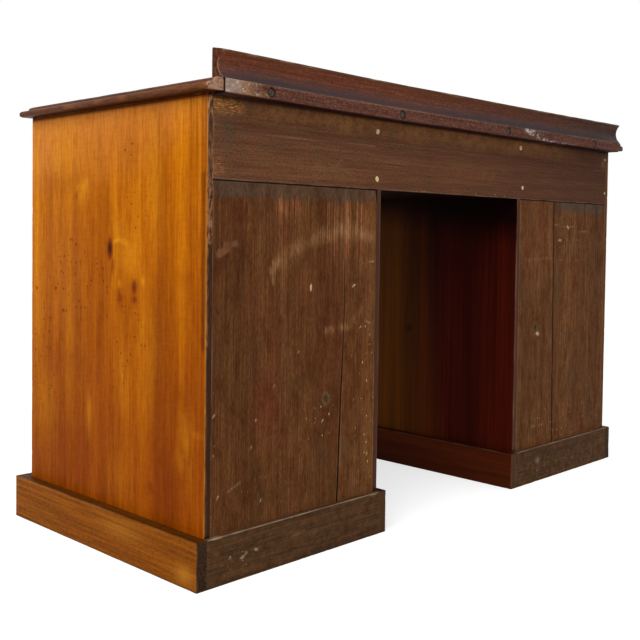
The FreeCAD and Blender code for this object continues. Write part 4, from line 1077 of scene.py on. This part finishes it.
f = finish_in_room("old_steel")
rust = f.noise((700, 700), detail=4)
f.colour = f.tones(rust, 0.35, 0.65, (32, 26, 25), (62, 52, 48), (104, 80, 64), at=(0.0, 0.6, 1.0))
old_steel = f.coat(rust, (0.45, 0.75), rust, 0.0002, gloss=0.3, metal=0.3)

# A flat face out to the rim, then the edge going in.
radius = SCREW_REACH * np.array([0.001, 0.12, 0.2, 0.35, 0.5, 0.65, 0.8, 0.92, 1.0, 1.0, 0.7])[:, None]
depth = np.array([0, 0, 0, 0, 0, 0, 0, 0.05, 0.4, 2.6, 2.6])[:, None]
turn = circle(72)
for k, (at, slant) in enumerate(zip(SCREWS, SLANTS)):
    from_slot = np.abs(radius * np.sin(turn - slant)) - SLOT_WIDE / 2
    groove = SLOT_DEEP * held((0.1 - from_slot) / 0.2) * (depth < 0.5)
    head = rings_about(at, SCREW_LEVEL - along_line(at, SETTLED), radius, TOP_BACK - SCREW_SINK - depth - groove, turn)
    fitted(skin(f"screw_{k + 1}", head, {}), old_steel, None if k else "rear_strip_screws")

# Gallery. A low upstand along the back of the top, upright in front, its top edge falling to the back, with a
# hollow worked along its rear face. The hollow's lower half is painted dark blue-grey, for dust and for painted
# shade and reflection.
GALLERY_HALF, GALLERY_HIGH, GALLERY_FALL, GALLERY_ROUND = 597.0, 44.0, 4.0, 2.0
HOLLOW_DEEP, HOLLOW_LAND = 11.5, 1.2


def gallery_ring():
    """The section as (y, z): 27 points up the front and round its head, then 27 down the back, along the hollow. The
    hollow is the arc through its two lands and its deepest point, given by circle centre and radius."""
    z0, z1 = WRITING_LEVEL, WRITING_LEVEL + GALLERY_HIGH
    tip, shoulder = z1 - GALLERY_FALL, z1 - GALLERY_ROUND
    head, foot = tip - HOLLOW_LAND, z0 + HOLLOW_LAND
    half = (head - foot) / 2
    radius = (half ** 2 + HOLLOW_DEEP ** 2) / (2 * HOLLOW_DEEP)
    swing = math.asin(half / radius)
    turn = np.linspace(swing, -swing, 25)[:, None]
    centre = np.array([TOP_BACK - HOLLOW_DEEP + radius, (head + foot) / 2])
    return np.concatenate([
        straight((STRIP_FRONT, z0), (STRIP_FRONT, shoulder), 23)[:-1],
        quarter_round((STRIP_FRONT, shoulder), (STRIP_FRONT + GALLERY_ROUND, z1), (STRIP_FRONT, z1), 3),
        [(TOP_BACK, tip)], centre + radius * np.concatenate([-np.cos(turn), np.sin(turn)], axis=1),
        [(TOP_BACK, z0)]])


f = wood("gallery_wood", (45, 260, 450), (0.3, 0.4, 0.6))
f.figure = f.both(f.figure, 0.6, f.noise((160, 400), (7, 2, 3)), 0.4)
weave = f.noise((90, 220), (3, 1, 1), 4)
f.colour = f.tones(f.figure, 0.33, 0.67, (82, 37, 21), (114, 59, 36), (152, 87, 54))
f.over((96, 66, 40), (weave, 0.5, 0.66), 0.6)
f.tint((150, 140, 130), "dulled")
# Dust, and painted shade and reflection: the hollow's lower half is laid over with dark blue-grey.
f.over((55, 48, 50), "grimy")
# Painted shade on the narrow land at the head of the hollow, with a darker finish there.
f.tint((110, 96, 70), "rim")
f.over((88, 46, 26), "butt")
f.tint((170, 140, 124), "butt", (weave, 0.4, 0.6))
f.over((176, 144, 112), "worn", 0.7)
gallery_wood = f.coat(weave, (0.42, 0.6), f.fibres, 0.0002, gloss=0.08)

points, grain, along, y, z, rubbed = carried(
    gallery_ring(), (-GALLERY_HALF, 0), (GALLERY_HALF, 0), 3.0,
    lambda x, y, z: (x, y, z - along_line(x, SETTLED)), 330, rub_depth=0.3)
torn_z = z + 3 * ragged(along, z, 50, 12, 331)
behind = y > STRIP_FRONT + 5
at_end = np.abs(along) > GALLERY_HALF - 0.3
beside_end = np.abs(along) > GALLERY_HALF - 1.2
# The hollow grows shallower over its last 57 mm at the far end.
easing = held((-540 - along) / 57) ** 2
points[..., 1] += behind * easing * (0.22 * (TOP_BACK - y) - 1.2 * (z > 775))
on_edges = blots(y, z, [(TOP_BACK, 776, 2.5, 2.5, 1.0), (STRIP_FRONT + 1, 780, 3, 2, 0.7)])
marks = dict(
    grain=grain,
    # Dust and painted reflection in the hollow's lower half.
    grimy=ramp(torn_z, 763, -20) * behind * (0.9 + 0.1 * waver(along, z, 160, 30, 332)),
    dulled=ramp(along, 200, -700) * behind,
    # Painted shade and a darker finish on the land at the hollow's head.
    rim=ramp(z, 774.5, 1.5) * behind,
    butt=at_end,
    worn=held(on_edges * (0.25 + rubbed * 2) + 0.8 * beside_end * (z < 766) * behind) * ~at_end,
)
fitted(skin("gallery_board", points, marks, sawn=True), gallery_wood, "gallery")

# Drawer fronts. Nine solid fronts of figured red-brown wood, polished, with a rounded bead glued round each edge.
# They are lap-dovetailed to their sides, so the sides' tails show at the ends when a drawer is open.
FRONT_THICK, FRONT_GAP, TAIL_SHOWS = 20.0, 1.0, 0.25
BEAD_WIDE, BEAD_PROUD = 3.5, 1.5
BEAD_ROWS = (0.0, 0.2, 0.6, 1.2, 1.75, 2.3, 2.9, 3.3, 3.5, 3.8, 5.0)
# A drawer's knobs stand apart by this share of its width.
KNOB_SPREAD = 0.52
PEDESTAL_MIDDLE, PEDESTAL_WIDE = (KNEE_BAY + PANEL_INNER) / 2, PANEL_INNER - KNEE_BAY
# The middle, width, low edge and high edge of each drawer's opening.
DRAWERS = {"frieze_centre": (0.0, 2 * KNEE_FACE, FRIEZE_LOW, FRIEZE_HIGH)}
for side, sign in (("left", -1), ("right", 1)):
    for name, low, high in ((f"frieze_{side}", FRIEZE_LOW, FRIEZE_HIGH), (f"{side}_top", UPPER_RAIL[1], SEAM),
                            (f"{side}_middle", LOWER_RAIL[1], UPPER_RAIL[0]),
                            (f"{side}_bottom", FLOOR_TOP, LOWER_RAIL[0])):
        DRAWERS[name] = (sign * PEDESTAL_MIDDLE, PEDESTAL_WIDE, low, high)

f = wood("drawer_front_wood", (18, 150, 900), (1.2, 0.5, 0.3))
flecks = f.noise((30, 420), (1, 4, 2), 2)
f.colour = f.tones(f.figure, 0.3, 0.7, (104, 50, 18), (132, 69, 27), (160, 92, 40))
f.tint((226, 210, 198), (f.noise((18, 7), (3, 5, 1), 3, 0.5, 0.5), 0.4, 0.68))
f.tint((120, 80, 60), (flecks, 0.57, 0.72))
f.tint((110, 70, 52), "grimy")
f.over((196, 138, 92), "worn", 0.35)
drawer_front_wood = f.coat(flecks, (0.3, 0.44), f.fibres, 0.00012, gloss=0.22, varnish=0.08)

for seed, (name, (middle, width, low, high)) in enumerate(DRAWERS.items()):
    half = width / 2 - FRONT_GAP - TAIL_SHOWS
    z0, z1 = low + FRONT_GAP, high - FRONT_GAP
    board = Board((0, 2, 1), (middle - half, middle + half),
                  box_corners(z0, z1, CARCASS_FRONT, CARCASS_FRONT + FRONT_THICK), (5.0, 4, 30, 4), 5.0, 400 + seed,
                  arris=0.35, chip=0.5, near=BEAD_ROWS)
    x, z = board.flat()
    rim = np.minimum(half - np.abs(x - middle), np.minimum(z - z0, z1 - z))
    # The bead is half a circle across, drawn out to its own height.
    bead = np.sqrt(held(1 - ((rim - BEAD_WIDE / 2) / (BEAD_WIDE / 2)) ** 2))
    on_face = board.on_side(1, CARCASS_FRONT)
    board.points[..., 1] -= on_face * (
        BEAD_PROUD * bead - 0.1 * held((rim - 6) / 20) * waver(x, z, 90, 60, 420 + seed))
    from_knob = np.hypot(np.abs(x - middle) - width * KNOB_SPREAD / 2, z - (low + high) / 2)
    board.make(f"front_{name}", drawer_front_wood, "front_wood", f"drawer_front_{name}", f"drawer_{name}",
               worn=held(bead - 0.55) * held(ragged(x, z, 60, 40, 430 + seed) + 0.4) * on_face,
               grimy=held(np.exp(-((rim - 4.2) / 1.6) ** 2) * 0.8 * on_face
                          + 0.5 * np.exp(-((from_knob - 14) / 7) ** 2)))

# Knobs. Two to a drawer, each turned in one piece with a collar, a waist and a domed face, and pegged into the
# front. Hands have polished them dark.
KNOB_RADIUS, KNOB_OUT = 19.0, 28.0
COLLAR_RADIUS, COLLAR_LONG, NECK_RADIUS, NECK_LONG, BRIM_LONG, FACE_RADIUS = 11.5, 3.0, 8.0, 10.0, 17.0, 7.0

f = wood("knob_wood", (60, 300, 900), (1.0, 0.6, 0.4))
f.colour = f.tones(f.figure, 0.36, 0.64, (62, 24, 12), (122, 60, 32))
f.over((168, 106, 66), "worn", 0.5)
f.tint((90, 70, 60), "grimy")
knob_wood = f.coat(f.growth, (0.24, 0.38), f.fibres, 0.0001, gloss=0.3, varnish=0.15, varnish_rough=0.15)


def knob_profile():
    """(out, radius) from the collar to the middle of the face, with a fine cut line behind the collar and two more
    round the face."""
    neck, brim, face = (NECK_LONG, NECK_RADIUS), (BRIM_LONG, KNOB_RADIUS), (KNOB_OUT, FACE_RADIUS)
    shoulder = (COLLAR_LONG - 0.6, COLLAR_RADIUS)
    return np.concatenate([
        straight((-0.4, COLLAR_RADIUS - 0.6), (0.3, COLLAR_RADIUS), 2)[:-1],
        straight((0.3, COLLAR_RADIUS), shoulder, 3)[:-1],
        quarter_round(shoulder, (COLLAR_LONG, COLLAR_RADIUS - 0.6), (COLLAR_LONG, COLLAR_RADIUS), 3),
        quarter_round((COLLAR_LONG, COLLAR_RADIUS - 0.9), neck, (COLLAR_LONG, NECK_RADIUS), 7)[:-1],
        quarter_round(neck, brim, (BRIM_LONG, NECK_RADIUS), 9)[:-1],
        quarter_round(brim, face, (KNOB_OUT, KNOB_RADIUS), 14)[:-1],
        [(KNOB_OUT - 0.02, FACE_RADIUS), (KNOB_OUT - 0.35, FACE_RADIUS - 0.6), (KNOB_OUT - 0.02, FACE_RADIUS - 1.2),
         (KNOB_OUT, 3.0)],
    ])


out, radius = knob_profile().T[:, :, None]
turn = circle(40)
on_dome = held((out - BRIM_LONG) / 11)
for seed, (name, (middle, width, low, high)) in enumerate(DRAWERS.items()):
    for side, sign in (("left", -1), ("right", 1)):
        dents = 0.12 * waver(8 * np.cos(turn), out + 8 * np.sin(turn), 5, 6, 450 + seed + sign) * on_dome
        points = rings_about(middle + sign * width * KNOB_SPREAD / 2, (low + high) / 2, radius,
                             CARCASS_FRONT - out + np.maximum(dents, 0), turn)
        shift = np.random.default_rng(460 + 2 * seed + sign).uniform(0, 3, 3)
        marks = dict(grain=points[..., [1, 0, 2]] * MM + shift,
                     worn=held(np.exp(-((out - 18) / 2.5) ** 2) * (0.5 + waver(turn * 9, out, 3, 4, 470 + seed))),
                     grimy=held(1.1 * np.exp(-((out - 4.5) / 3) ** 2)) + 0 * turn)
        fitted(skin(f"knob_{name}_{side}", points, marks), knob_wood,
               f"knobs_{name}" if side == "left" else None, f"drawer_{name}")

# Drawer boxes. Thin pale sides, back and bottom, dovetailed together, left plain inside and grimy at the top edges
# from use. The runners, stops and glue blocks inside the carcass are old unpolished softwood.


def inside_wood(name, stretch, rough, *colours):
    """Plain wood seen only inside: bands and fibres drawn out along one axis of the room."""
    f = finish_in_room(name)
    bands = f.noise([22 * s for s in stretch], rough=0.6, twist=0.3)
    fibres = f.noise([500 * s for s in stretch], (2, 3, 4), 3, 0.65)
    soil = f.noise((12, 12), detail=4, rough=0.65)
    f.colour = f.tones(f.both(bands, 0.7, fibres, 0.3), 0.36, 0.64, *colours)
    f.tint((220, 206, 188), (soil, 0.42, 0.66))
    return f.coat(soil, (rough - 0.1, rough + 0.08), fibres, 0.0002, gloss=0.25)


drawer_lining = inside_wood("drawer_lining", (1, 0.05, 1), 0.7, (150, 112, 70), (182, 144, 96), (206, 172, 124))
old_softwood = inside_wood("old_softwood", (0.3, 0.05, 1), 0.8, (110, 78, 48), (142, 104, 66), (170, 132, 88))
inside = {f"drawer_box_{name}": drawer_lining for name in DRAWERS}
inside.update(drawer_bearers=old_softwood, drawer_stops=old_softwood, glue_blocks=old_softwood)
for node, finish in inside.items():
    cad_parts[node].data.materials.clear()
    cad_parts[node].data.materials.append(finish)
